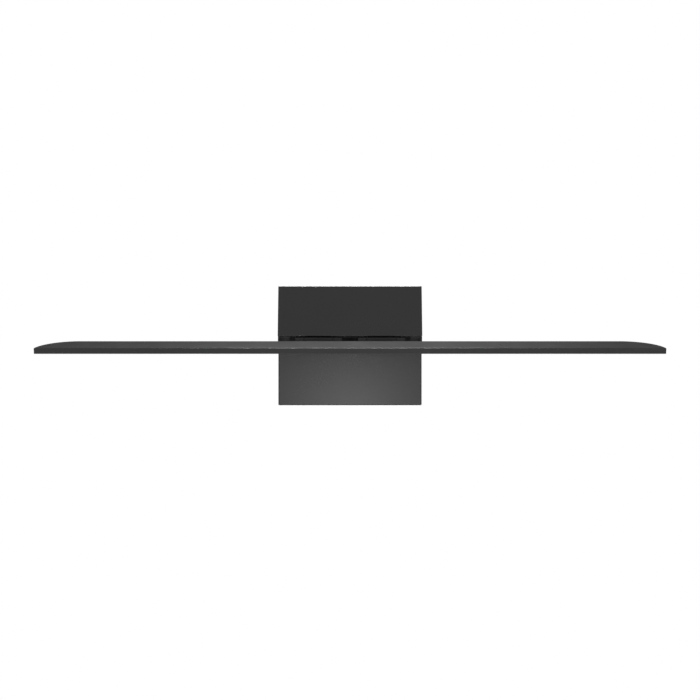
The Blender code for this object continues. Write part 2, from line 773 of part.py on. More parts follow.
def bar_shell(pivot):
    """Solid aluminium blade with a pocket for the light in its underside."""
    shell = extruded(bar_outline(0), "PLAN", BAR_UNDERSIDE, BAR_TOP)
    make_part(shell, "bar_shell", "powder_coat", pivot)
    rounded(shell, 0.00045, 1)
    low, high = BAR_UNDERSIDE - 0.01, BAR_UNDERSIDE + POCKET_DEPTH
    pocket = extruded(bar_outline(SKIRT, POCKET_REAR), "PLAN", low, high)
    cut(shell, pocket, "bar_pocket")
    groove = block(
        (-LEAD_RADIUS - GAP, LEAD_RADIUS + GAP),
        (BAR_REAR - 0.01, BAR_FRONT - POCKET_REAR + 0.002),
        (BAR_UNDERSIDE - 0.01, BAR_UNDERSIDE + 0.0039),
    )
    cut(shell, groove, "bar_lead_groove")
    for number, x, forward in cover_screw_places():
        place = at(x, forward, BAR_TOP)
        hole = turned(flat_screw_profile(*COVER_SCREW, grow=0.00015), place, UP)
        cut(shell, hole, f"bar_screw_hole_{number}")
        screw = turned(flat_screw_profile(*COVER_SCREW), place, UP)
        make_part(screw, f"cover_screw_{number}", "black_steel", pivot)
    for side, sign in HINGE_SIDES.items():
        low, high = moving_span(sign)
        for rank, offset in (("left", -ARM_SCREW_SPREAD), ("right", ARM_SCREW_SPREAD)):
            x = (low + high) / 2 + offset
            start = at(x, ARM_SCREW_FORWARD, BAR_UNDERSIDE - 0.002)
            hole = rod(start, at(x, ARM_SCREW_FORWARD, BAR_UNDERSIDE + 0.0042), 0.0016)
            cut(shell, hole, f"bar_arm_tap_{side}_{rank}")


def lead_cover(pivot):
    """Small plate bonded under the groove, which keeps the lead in the bar."""
    low, high = BAR_UNDERSIDE - 0.0013, BAR_UNDERSIDE - GAP
    x_range = (-LEAD_COVER_HALF_WIDTH, LEAD_COVER_HALF_WIDTH)
    cover = block(x_range, LEAD_COVER_FORWARD, (low, high))
    make_part(cover, "lead_cover", "bare_aluminium", pivot)
    rounded(cover, 0.0008, 2, 60)


def light_source(pivot):
    """Heat-spreading tray, its four LED boards and the diffuser that closes the pocket."""

    def layer(heights):
        return [BAR_UNDERSIDE + height for height in heights]

    pocket_fit = bar_outline(SKIRT + GAP, POCKET_REAR - GAP)
    tray = extruded(pocket_fit, "PLAN", *layer(TRAY_LAYER))
    make_part(tray, "led_tray", "bare_aluminium", pivot)
    for number, x, forward in cover_screw_places():
        low, high = layer(BOSS_LAYER)
        boss = rod(at(x, forward, low), at(x, forward, high), 0.0026)
        add(tray, boss, f"tray_boss_{number}")
        hole = rod(at(x, forward, low - 0.0007), at(x, forward, high + 0.0024), 0.00105)
        cut(tray, hole, f"tray_hole_{number}")
    centre = BAR_FRONT - BOARD_SETBACK
    forward_range = (centre - BOARD_HALF_WIDTH, centre + BOARD_HALF_WIDTH)
    for number in range(1, 5):
        start = (number - 3) * COVER_SCREW_PITCH
        x_range = (start + BOARD_END_GAP, start + COVER_SCREW_PITCH - BOARD_END_GAP)
        board = block(x_range, forward_range, layer(BOARD_LAYER))
        make_part(board, f"led_board_{number}", "circuit_board", pivot)
    diffuser = extruded(pocket_fit, "PLAN", *layer(DIFFUSER_LAYER))
    make_part(diffuser, "diffuser", "opal_acrylic", pivot)


# Driver and wiring


def driver():
    """LED driver on the back of the chassis: case, board and lid."""
    half = DRIVER_WIDTH / 2
    front = CHASSIS_BACK - GAP
    wall = DRIVER_WALL
    lid_front = DRIVER_BACK + wall
    case = block((-half, half), (lid_front + GAP, front), (DRIVER_LOW, DRIVER_HIGH))
    make_part(case, "driver_case", "driver_plastic")
    rounded(case, 0.0012, 2, 60)
    room = block(
        (wall - half, half - wall), (0, front - wall), (DRIVER_LOW + wall, DRIVER_HIGH - wall)
    )
    cut(case, room, "driver_room")
    for side, sign in HINGE_SIDES.items():
        x_range = sorted((sign * (half - 0.002), sign * (half + 0.009)))
        height_range = (DRIVER_SCREW_HEIGHT - 0.005, DRIVER_SCREW_HEIGHT + 0.005)
        ear = block(x_range, (front - 0.002, front), height_range)
        add(case, ear, f"driver_{side}_ear")
        x = sign * DRIVER_SCREW_X
        start = at(x, 0.005, DRIVER_SCREW_HEIGHT)
        cut(case, rod(start, at(x, 0.02, DRIVER_SCREW_HEIGHT), 0.0018), f"driver_{side}_hole")
        place = at(x, front - 0.002 - GAP, DRIVER_SCREW_HEIGHT)
        pan_screw(f"driver_screw_{side}", DRIVER_SCREW, 0.0042, place, TO_WALL)
    exit_ends = OUTPUT_ROUTE[0] + UP * 0.004, OUTPUT_ROUTE[0] - UP * 0.004
    cut(case, rod(*exit_ends, LEAD_RADIUS + GAP), "driver_output_hole")
    for name, route in (("live", LIVE_ROUTE), ("neutral", NEUTRAL_ROUTE)):
        ends = route[0] + Vector((0.005, 0, 0)), route[0] - Vector((0.003, 0, 0))
        cut(case, rod(*ends, CORE_RADIUS + GAP), f"driver_{name}_hole")
    lid = block((-half, half), (DRIVER_BACK, lid_front), (DRIVER_LOW, DRIVER_HIGH))
    make_part(lid, "driver_lid", "driver_plastic")
    rounded(lid, 0.0012, 2, 60)
    inset = wall + 0.002
    board_front = front - wall - BOARD_STANDOFF
    board = block(
        (inset - half, half - inset),
        (board_front - BOARD_THICKNESS, board_front),
        (DRIVER_LOW + inset, DRIVER_HIGH - inset),
    )
    make_part(board, "driver_board", "circuit_board")


def wire_nut(name, place, direction, finish):
    """Twist-on connector: a ribless cone with an open mouth at place."""
    profile = [
        (0, 0.019),
        (0.0024, 0.019),
        (0.0030, 0.0175),
        (0.0041, 0.006),
        (0.0047, 0.001),
        (0.0047, 0),
        (0.0034, 0),
        (0.0026, 0.008),
        (0, 0.008),
    ]
    make_part(turned(profile, place, direction), name, finish)


def wiring():
    """The fixture's own leads, their connectors and the ground screw."""
    make_part(tube(OUTPUT_ROUTE, LEAD_RADIUS), "output_lead", "lead_sheath")
    for name, route, core, nut in (
        ("live", LIVE_ROUTE, "core_black", "nut_orange"),
        ("neutral", NEUTRAL_ROUTE, "core_white", "nut_orange"),
        ("ground", GROUND_ROUTE, "core_green", "nut_green"),
    ):
        make_part(tube(route, CORE_RADIUS), f"lead_{name}", core)
        direction = (route[-1] - route[-2]).normalized()
        wire_nut(f"wire_nut_{name}", route[-1] - direction * 0.0045, direction, nut)
    place = at(GROUND_PLACE[0], CHASSIS_BACK - GAP, GROUND_PLACE[1])
    screw = pan_screw("ground_screw", BRACKET_SCREW, 0.0032, place, TO_WALL)
    screw.data.materials[0].node_tree.nodes["Principled BSDF"].inputs[
        "Base Color"
    ].default_value = (0.05, 0.3, 0.1, 1)


def tilt_axis():
    """The empty on the hinge axis that holds the bar at its rest tilt."""
    pivot = bpy.data.objects.new("bar_tilt_axis", None)
    PARTS.objects.link(pivot)
    pivot.location = on_axis(0)
    pivot.rotation_euler = (REST_TILT, 0, 0)
    return pivot


def build():
    canopy_cover()
    hood_panel()
    crossbar()
    chassis_plate()
    cable_grommet()
    driver()
    wiring()
    pivot = tilt_axis()
    for side, sign in HINGE_SIDES.items():
        hinge_bracket(side, sign)
        hinge_pin(side, sign)
        thrust_washers(side, sign)
        bar_arm(side, sign, pivot)
        friction_bush(side, sign, pivot)
    bar_shell(pivot)
    light_source(pivot)
    lead_cover(pivot)
    make_part(tube(BAR_LEAD_ROUTE, LEAD_RADIUS), "bar_lead", "lead_sheath", pivot)


clear_scene()
PARTS = new_collection("vanity_light_bar")
CUTTERS = new_collection("cutters")
build()
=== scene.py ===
"""Vanity light bar: the finished look of every piece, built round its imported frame.

Units are metres and +Z is up. The wall is the plane Y = 0 and the room is towards -Y, so
"forward" is a distance from the wall. Pieces on the bar are modelled level, with forward and
height measured from the hinge axis, and are then turned to the bar's rest tilt.
"""

from __future__ import annotations

import json
import logging
import math
from collections.abc import Callable, Iterator, Sequence
from contextlib import contextmanager
from dataclasses import dataclass, field, replace
from enum import Enum

import bmesh
import bpy
from mathutils import Matrix, Vector

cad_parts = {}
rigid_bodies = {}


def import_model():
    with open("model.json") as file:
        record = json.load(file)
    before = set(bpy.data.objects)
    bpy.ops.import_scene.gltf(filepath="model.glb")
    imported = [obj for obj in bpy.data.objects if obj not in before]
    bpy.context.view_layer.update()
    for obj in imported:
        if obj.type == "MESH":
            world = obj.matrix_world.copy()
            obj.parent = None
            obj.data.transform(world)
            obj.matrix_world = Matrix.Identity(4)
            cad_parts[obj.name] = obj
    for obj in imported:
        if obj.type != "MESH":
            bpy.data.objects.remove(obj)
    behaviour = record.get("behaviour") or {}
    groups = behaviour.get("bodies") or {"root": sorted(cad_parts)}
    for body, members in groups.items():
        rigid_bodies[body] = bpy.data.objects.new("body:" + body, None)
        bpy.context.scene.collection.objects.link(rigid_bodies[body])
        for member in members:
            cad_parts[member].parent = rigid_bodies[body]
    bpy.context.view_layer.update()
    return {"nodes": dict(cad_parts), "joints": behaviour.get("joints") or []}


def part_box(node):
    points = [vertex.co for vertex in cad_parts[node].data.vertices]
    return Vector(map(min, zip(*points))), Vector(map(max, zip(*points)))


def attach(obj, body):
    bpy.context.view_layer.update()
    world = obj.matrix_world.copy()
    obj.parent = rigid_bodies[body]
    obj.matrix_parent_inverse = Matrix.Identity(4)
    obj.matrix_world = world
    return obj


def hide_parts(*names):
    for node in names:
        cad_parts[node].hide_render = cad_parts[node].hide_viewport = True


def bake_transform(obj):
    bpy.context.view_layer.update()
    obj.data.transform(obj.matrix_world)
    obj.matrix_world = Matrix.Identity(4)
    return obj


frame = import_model()
LOG = logging.getLogger("vanity_light_bar")

FaceTest = Callable[[Vector, Vector], bool]
EdgeTest = Callable[[Vector, Vector, float], bool]
Span = tuple[float, float]

GAP = 0.0003
SIDES = {"left": -1, "right": 1}
REST_TILT = math.radians(12)
AXIS = Vector(frame["joints"][0]["pos_m"])
TO_WALL = Vector((0, 1, 0))
TO_ROOM = Vector((0, -1, 0))
UP = Vector((0, 0, 1))
DOWN = Vector((0, 0, -1))


class Body(Enum):
    """The two bodies that pieces ride on."""

    CANOPY = "canopy"
    BAR = "light_bar"


def at(x: float, forward: float, height: float) -> Vector:
    """Gives the point at that x, distance forward of the wall and height."""
    return Vector((x, -forward, height))


def span(sign: int, near: float, far: float) -> Span:
    """Gives the x range from near to far on one side of the middle, lowest first."""
    return (near, far) if sign > 0 else (-far, -near)


def node_span(node: str, axis: int) -> Span:
    """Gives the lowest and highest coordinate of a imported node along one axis."""
    low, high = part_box(node)
    return low[axis], high[axis]


class Workpiece:
    """One mesh on the bench: it starts as a primitive and is shaped in edit mode."""

    def __init__(self, body: bpy.types.Object) -> None:
        """Takes an object whose place is already in its mesh."""
        self.body = body

    @classmethod
    def box(cls, xs: Span, forwards: Span, heights: Span) -> Workpiece:
        """Starts a box.

        Args:
            xs: its lowest and highest x.
            forwards: its nearest and farthest distance from the wall.
            heights: its lowest and highest height.

        Returns:
            The box as a workpiece.
        """
        low, high = at(xs[0], forwards[1], heights[0]), at(xs[1], forwards[0], heights[1])
        bpy.ops.mesh.primitive_cube_add(size=1, location=(low + high) / 2)
        piece = cls(bpy.context.object)
        piece.body.scale = high - low
        return piece.settle()

    @classmethod
    def turned(cls, profile: Sequence[Span], sides: int = 32) -> Workpiece:
        """Turns an upright solid: a cone for the first step, then extruded, resized rings.

        Args:
            profile: (height, radius) pairs from the bottom to the top.
            sides: how many flats the round has.

        Returns:
            The closed solid as a workpiece, its height 0 at the origin.
        """
        (start, first), (end, second) = profile[:2]
        bpy.ops.mesh.primitive_cone_add(
            vertices=sides, radius1=first, radius2=second, depth=end - start,
            location=(0, 0, (start + end) / 2),
        )
        piece = cls(bpy.context.object).settle()
        with piece.editing():
            piece.pick_faces(lambda middle, normal: normal.z > 0.99 and middle.z > end - 1e-7)
            last = second
            for distance, radius in profile[2:]:
                bpy.ops.mesh.extrude_region_move(
                    TRANSFORM_OT_translate={"value": (0, 0, distance - end)}
                )
                ratio = radius / last
                bpy.ops.transform.resize(
                    value=(ratio, ratio, 1), center_override=(0, 0, distance)
                )
                end, last = distance, radius
        return piece

    @classmethod
    def rod(cls, start: Vector, end: Vector, radius: float, sides: int = 32) -> Workpiece:
        """Starts a plain cylinder between two points."""
        along = end - start
        return cls.turned(((0, radius), (along.length, radius)), sides).stand(start, along)

    @classmethod
    def wire(cls, route: Sequence[Vector], radius: float, sides: int = 4) -> Workpiece:
        """Sweeps a round wire along a smooth curve through the route's points."""
        curve = bpy.data.curves.new("wire", "CURVE")
        curve.dimensions = "3D"
        curve.bevel_depth = radius
        curve.bevel_resolution = sides
        curve.resolution_u = 8
        curve.use_fill_caps = True
        spline = curve.splines.new("BEZIER")
        spline.bezier_points.add(len(route) - 1)
        for point, place in zip(spline.bezier_points, route):
            point.co = place
            point.handle_left_type = point.handle_right_type = "AUTO"
        body = bpy.data.objects.new("wire", curve)
        bpy.context.scene.collection.objects.link(body)
        piece = cls(body)
        piece.alone()
        bpy.ops.object.convert(target="MESH")
        piece.body = bpy.context.object
        return piece.weld_seams()

    def alone(self) -> None:
        """Makes this the only selected object and the active one."""
        bpy.ops.object.select_all(action="DESELECT")
        self.body.select_set(True)
        bpy.context.view_layer.objects.active = self.body

    def settle(self) -> Workpiece:
        """Moves the object's place, turn and scale into its mesh."""
        self.alone()
        bpy.ops.object.transform_apply(location=True, rotation=True, scale=True)
        return self

    def stand(self, place: Vector, direction: Vector) -> Workpiece:
        """Puts an upright piece at a place, with its top towards the direction."""
        turn = direction.to_track_quat("Z", "Y").to_matrix().to_4x4()
        self.body.matrix_world = Matrix.Translation(place) @ turn
        return self.settle()

    @contextmanager
    def editing(self) -> Iterator[None]:
        """Holds the piece in edit mode for as long as the block runs."""
        self.alone()
        bpy.ops.object.mode_set(mode="EDIT")
        try:
            yield
        finally:
            bpy.ops.object.mode_set(mode="OBJECT")

    def pick_faces(self, test: FaceTest) -> None:
        """Selects the faces whose middle and normal pass the test."""
        bpy.ops.mesh.select_mode(type="FACE")
        bpy.ops.mesh.select_all(action="DESELECT")
        shape = bmesh.from_edit_mesh(self.body.data)
        for face in shape.faces:
            face.select_set(test(face.calc_center_median(), face.normal))
        bmesh.update_edit_mesh(self.body.data)

    def pick_edges(self, test: EdgeTest) -> None:
        """Selects the edges whose two ends and face angle pass the test."""
        bpy.ops.mesh.select_mode(type="EDGE")
        bpy.ops.mesh.select_all(action="DESELECT")
        shape = bmesh.from_edit_mesh(self.body.data)
        for edge in shape.edges:
            first, second = edge.verts
            edge.select_set(test(first.co, second.co, edge.calc_face_angle(0.0)))
        bmesh.update_edit_mesh(self.body.data)

    def pick_points(self, test: Callable[[Vector], bool]) -> None:
        """Selects the points that pass the test."""
        bpy.ops.mesh.select_mode(type="VERT")
        bpy.ops.mesh.select_all(action="DESELECT")
        shape = bmesh.from_edit_mesh(self.body.data)
        for point in shape.verts:
            point.select_set(test(point.co))
        shape.select_flush_mode()
        bmesh.update_edit_mesh(self.body.data)

    def extrude(self, test: FaceTest, travel: Vector) -> Workpiece:
        """Extrudes the faces that pass the test by one travel."""
        with self.editing():
            self.pick_faces(test)
            bpy.ops.mesh.extrude_region_move(TRANSFORM_OT_translate={"value": travel})
        return self

    def press(self, test: FaceTest, margin: float, travel: Vector) -> Workpiece:
        """Insets the faces that pass the test by a margin, then moves what is inside it."""
        with self.editing():
            self.pick_faces(test)
            bpy.ops.mesh.inset(thickness=margin, depth=0)
            bpy.ops.mesh.extrude_region_move(TRANSFORM_OT_translate={"value": travel})
        return self

    def remove_faces(self, test: FaceTest) -> Workpiece:
        """Deletes the faces that pass the test."""
        with self.editing():
            self.pick_faces(test)
            bpy.ops.mesh.delete(type="FACE")
        return self

    def shift(self, test: Callable[[Vector], bool], travel: Vector) -> Workpiece:
        """Moves the points that pass the test."""
        with self.editing():
            self.pick_points(test)
            bpy.ops.transform.translate(value=travel)
        return self

    def slice(self, point: Vector, normal: Vector, keep_all: bool = False) -> Workpiece:
        """Bisects the piece and, unless all is kept, takes off what the normal points to."""
        with self.editing():
            bpy.ops.mesh.select_all(action="SELECT")
            bpy.ops.mesh.bisect(
                plane_co=point, plane_no=normal, use_fill=not keep_all,
                clear_outer=not keep_all, threshold=1e-7,
            )
        return self

    def round_edges(self, test: EdgeTest, width: float, segments: int = 3) -> Workpiece:
        """Bevels the edges that pass the test."""
        with self.editing():
            self.pick_edges(test)
            bpy.ops.mesh.bevel(
                offset=width, segments=segments, affect="EDGES", clamp_overlap=True
            )
        return self

    def soften(self, width: float, segments: int = 2, angle: float = 30) -> Workpiece:
        """Bevels every edge that is sharper than the angle, in degrees."""
        limit = math.radians(angle)
        return self.round_edges(lambda a, b, turn: turn > limit, width, segments)

    def spin_faces(self, test: FaceTest, centre: Vector, turn: float, steps: int) -> Workpiece:
        """Spins the faces that pass the test round an upright axis."""
        with self.editing():
            self.pick_faces(test)
            bpy.ops.mesh.spin(
                steps=steps, angle=turn, center=centre, axis=(0, 0, 1), use_auto_merge=False
            )
        return self.weld_seams()

    def weld_seams(self, reach: float = 1e-6) -> Workpiece:
        """Merges points that coincide and turns every face outwards."""
        with self.editing():
            bpy.ops.mesh.select_mode(type="VERT")
            bpy.ops.mesh.select_all(action="SELECT")
            bpy.ops.mesh.remove_doubles(threshold=reach)
            bpy.ops.mesh.dissolve_degenerate(threshold=reach)
            bpy.ops.mesh.select_all(action="SELECT")
            bpy.ops.mesh.normals_make_consistent(inside=False)
        return self

    def apply(self, kind: str, **settings: object) -> Workpiece:
        """Adds a modifier with these settings and applies it."""
        self.alone()
        modifier = self.body.modifiers.new(kind.lower(), kind)
        for name, value in settings.items():
            setattr(modifier, name, value)
        bpy.ops.object.modifier_apply(modifier=modifier.name)
        return self

    def _boolean(self, tool: Workpiece, operation: str) -> Workpiece:
        """Applies a Boolean with the tool, which is used up."""
        self.apply("BOOLEAN", operation=operation, solver="EXACT", object=tool.body)
        tool.discard()
        return self

    def trim(self, tool: Workpiece) -> Workpiece:
        """Keeps only what lies inside the tool."""
        return self._boolean(tool, "INTERSECT")

    def cut(self, *tools: Workpiece) -> Workpiece:
        """Cuts the tools out of the piece."""
        for tool in tools:
            self._boolean(tool, "DIFFERENCE")
        return self

    def fuse(self, *others: Workpiece) -> Workpiece:
        """Joins overlapping solids to the piece as one."""
        for other in others:
            self._boolean(other, "UNION")
        return self

    def carry(self, *others: Workpiece) -> Workpiece:
        """Takes separate solids into the same object, with their own materials."""
        self.alone()
        for other in others:
            other.body.select_set(True)
        bpy.ops.object.join()
        return self

    def copy(self, travel: Vector | None = None) -> Workpiece:
        """Makes a copy with its own mesh, moved by the travel."""
        self.alone()
        bpy.ops.object.duplicate(linked=False)
        twin = Workpiece(bpy.context.object)
        twin.body.location = travel or Vector()
        return twin.settle()

    def discard(self) -> None:
        """Takes the piece and its mesh off the bench."""
        mesh = self.body.data
        bpy.data.objects.remove(self.body)
        bpy.data.meshes.remove(mesh)

    def tilt(self) -> Workpiece:
        """Takes a level piece from the hinge's frame to the bar's place at rest."""
        self.body.matrix_world = Matrix.Translation(AXIS) @ Matrix.Rotation(REST_TILT, 4, "X")
        return self.settle()

    def dress(self, material: bpy.types.Material) -> Workpiece:
        """Gives the whole piece one material."""
        self.body.data.materials.clear()
        self.body.data.materials.append(material)
        return self

    def smooth(self, angle: float = 32) -> Workpiece:
        """Shades round faces smooth and keeps flat faces flat right up to their edges."""
        self.alone()
        bpy.ops.object.shade_smooth_by_angle(angle=math.radians(angle))
        return self.apply("WEIGHTED_NORMAL", keep_sharp=True, weight=80)


def fit(piece: Workpiece, node: str, finish: Finish, body: Body) -> bpy.types.Object:
    """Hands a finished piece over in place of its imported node.

    Args:
        piece: the piece, in place.
        node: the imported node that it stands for.
        finish: the finish of the piece, unless it is dressed already.
        body: the body that it rides on.

    Returns:
        The piece's object.
    """
    if not piece.body.data.materials:
        piece.dress(finish.material())
    piece.smooth()
    piece.body.name = piece.body.data.name = f"finished_{node}"
    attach(piece.body, body.value)
    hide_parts(node)
    LOG.info("%s: %d faces", piece.body.name, len(piece.body.data.polygons))
    return piece.body


# Finishes


class Sheet:
    """A node tree being drawn, in a material or in a node group."""

    def __init__(self, tree: bpy.types.NodeTree) -> None:
        """Takes the tree to draw in."""
        self.tree = tree

    def add(self, kind: str, inputs: dict | None = None, **settings: object) -> bpy.types.Node:
        """Adds a node.

        Args:
            kind: the node's type.
            inputs: for each input, by name or number, a value or a socket to link from.
            settings: the node's own properties.

        Returns:
            The node.
        """
        node = self.tree.nodes.new(kind)
        for name, value in settings.items():
            setattr(node, name, value)
        for name, value in (inputs or {}).items():
            if isinstance(value, bpy.types.NodeSocket):
                self.tree.links.new(value, node.inputs[name])
            else:
                node.inputs[name].default_value = value
        return node

    def math(self, operation: str, first: object, second: object) -> bpy.types.NodeSocket:
        """Adds a sum on two values or sockets and gives its result."""
        return self.add("ShaderNodeMath", {0: first, 1: second}, operation=operation).outputs[0]

    def ranged(self, value: object, low: object, high: object, to: Span = (0.0, 1.0)) -> object:
        """Maps a value from low..high to another range, held at its ends."""
        return self.add(
            "ShaderNodeMapRange",
            {"Value": value, "From Min": low, "From Max": high, "To Min": to[0], "To Max": to[1]},
        ).outputs[0]

    def blend(self, factor: object, first: object, second: object) -> bpy.types.NodeSocket:
        """Mixes two colours by a factor."""
        node = self.add("ShaderNodeMix", data_type="RGBA")
        for index, value in ((0, factor), (6, first), (7, second)):
            if isinstance(value, bpy.types.NodeSocket):
                self.tree.links.new(value, node.inputs[index])
            else:
                node.inputs[index].default_value = value
        return node.outputs[2]

    def share(self, first: object, second: object, part: float) -> bpy.types.NodeSocket:
        """Adds two values together: the first by its part, the second by the rest."""
        near = self.math("MULTIPLY", first, part)
        return self.math("ADD", near, self.math("MULTIPLY", second, 1 - part))

    def noise(self, place: object, scale: object, detail: float, **more: float) -> object:
        """Adds a cloudy texture and gives its value."""
        inputs = {"Vector": place, "Scale": scale, "Detail": detail, **more}
        return self.add("ShaderNodeTexNoise", inputs).outputs["Fac"]

    def cells(self, place: object, scale: object) -> object:
        """Adds a texture of cells and gives the distance to the nearest cell's middle."""
        inputs = {"Vector": place, "Scale": scale}
        return self.add("ShaderNodeTexVoronoi", inputs).outputs["Distance"]

    def object_place(self) -> bpy.types.NodeSocket:
        """Gives the place on the object, in its own coordinates."""
        return self.add("ShaderNodeTexCoord").outputs["Object"]

    def group(self, tree: bpy.types.NodeTree, **values: float) -> bpy.types.Node:
        """Places a node group with its own values."""
        return self.add("ShaderNodeGroup", values, node_tree=tree)


class Effects:
    """Surface effects that several finishes share, each a node group that is built once."""

    @staticmethod
    def _start(name: str, inputs: dict[str, float], outputs: Sequence[str]) -> Sheet | None:
        """Opens a new group with number sockets, or gives None if it is built already."""
        if name in bpy.data.node_groups:
            return None
        tree = bpy.data.node_groups.new(name, "ShaderNodeTree")
        for label, value in inputs.items():
            socket = tree.interface.new_socket(label, in_out="INPUT", socket_type="NodeSocketFloat")
            socket.default_value = value
        for label in outputs:
            tree.interface.new_socket(label, in_out="OUTPUT", socket_type="NodeSocketFloat")
        sheet = Sheet(tree)
        tree.nodes.new("NodeGroupInput")
        tree.nodes.new("NodeGroupOutput")
        return sheet

    @staticmethod
    def _ends(sheet: Sheet) -> tuple[bpy.types.Node, bpy.types.Node]:
        """Gives the group's input and output nodes."""
        return sheet.tree.nodes["Group Input"], sheet.tree.nodes["Group Output"]

    @classmethod
    def coat_grain(cls) -> bpy.types.NodeTree:
        """Powder coat: the fine lumps of its skin, and slow changes of tone across it."""
        sheet = cls._start("coat_grain", {"Lumps": 900.0, "Clouds": 14.0}, ("Height", "Tone"))
        if sheet:
            given, result = cls._ends(sheet)
            place = sheet.object_place()
            lumps = sheet.noise(place, given.outputs["Lumps"], 2.0)
            speck = sheet.cells(place, given.outputs["Lumps"])
            clouds = sheet.noise(place, given.outputs["Clouds"], 4.0)
            height = sheet.math("ADD", lumps, sheet.math("MULTIPLY", speck, 0.35))
            tone = sheet.share(lumps, clouds, 0.35)
            sheet.tree.links.new(height, result.inputs["Height"])
            sheet.tree.links.new(tone, result.inputs["Tone"])
        return bpy.data.node_groups["coat_grain"]

    @classmethod
    def edge_wear_and_highlight(cls) -> bpy.types.NodeTree:
        """Sharp outer edges, broken up: where hands and tools rub, and a painted highlight along
        them.
        """
        sheet = cls._start("edge_wear_and_highlight", {"Start": 0.55, "End": 0.62, "Breakup": 160.0}, ("Mask",))
        if sheet:
            given, result = cls._ends(sheet)
            place = sheet.object_place()
            sharp = sheet.add("ShaderNodeNewGeometry").outputs["Pointiness"]
            patches = sheet.noise(place, given.outputs["Breakup"], 5.0)
            edge = sheet.ranged(sharp, given.outputs["Start"], given.outputs["End"])
            mask = sheet.math("MULTIPLY", edge, sheet.ranged(patches, 0.45, 0.7))
            sheet.tree.links.new(mask, result.inputs["Mask"])
        return bpy.data.node_groups["edge_wear_and_highlight"]

    @classmethod
    def settled_dust(cls) -> bpy.types.NodeTree:
        """Dust on what faces up, thin and uneven."""
        sheet = cls._start("settled_dust", {"Amount": 0.1, "Drift": 60.0}, ("Mask",))
        if sheet:
            given, result = cls._ends(sheet)
            coordinates = sheet.add("ShaderNodeTexCoord")
            facing = sheet.add(
                "ShaderNodeSeparateXYZ", {0: coordinates.outputs["Normal"]}
            ).outputs["Z"]
            drift = sheet.noise(coordinates.outputs["Object"], given.outputs["Drift"], 6.0)
            upward = sheet.ranged(facing, 0.55, 1.0)
            mask = sheet.math("MULTIPLY", upward, sheet.ranged(drift, 0.42, 0.8))
            mask = sheet.math("MULTIPLY", mask, given.outputs["Amount"])
            sheet.tree.links.new(mask, result.inputs["Mask"])
        return bpy.data.node_groups["settled_dust"]

    @classmethod
    def drawn_grain(cls) -> bpy.types.NodeTree:
        """Rolled or drawn metal: fine scratches that run along X."""
        sheet = cls._start("drawn_grain", {"Across": 1800.0, "Along": 30.0}, ("Height", "Tone"))
        if sheet:
            given, result = cls._ends(sheet)
            place = sheet.object_place()
            stretch = sheet.add(
                "ShaderNodeCombineXYZ",
                {"X": given.outputs["Along"], "Y": given.outputs["Across"],
                 "Z": given.outputs["Across"]},
            ).outputs[0]
            laid = sheet.add(
                "ShaderNodeVectorMath", {0: place, 1: stretch}, operation="MULTIPLY"
            ).outputs[0]
            lines = sheet.noise(laid, 1.0, 3.0)
            clouds = sheet.noise(place, 90.0, 4.0)
            tone = sheet.share(lines, clouds, 0.5)
            sheet.tree.links.new(lines, result.inputs["Height"])
            sheet.tree.links.new(tone, result.inputs["Tone"])
        return bpy.data.node_groups["drawn_grain"]

    @classmethod
    def mould_grain(cls) -> bpy.types.NodeTree:
        """Moulded plastic or rubber: an etched matt skin with faint flow marks."""
        sheet = cls._start("mould_grain", {"Etch": 2600.0, "Flow": 40.0}, ("Height", "Tone"))
        if sheet:
            given, result = cls._ends(sheet)
            place = sheet.object_place()
            etch = sheet.cells(place, given.outputs["Etch"])
            flow = sheet.noise(place, given.outputs["Flow"], 3.0, Distortion=1.2)
            sheet.tree.links.new(etch, result.inputs["Height"])
            sheet.tree.links.new(flow, result.inputs["Tone"])
        return bpy.data.node_groups["mould_grain"]


class Grain(Enum):
    """The texture that a finish has."""

    COAT = "coat_grain"
    DRAWN = "drawn_grain"
    MOULD = "mould_grain"


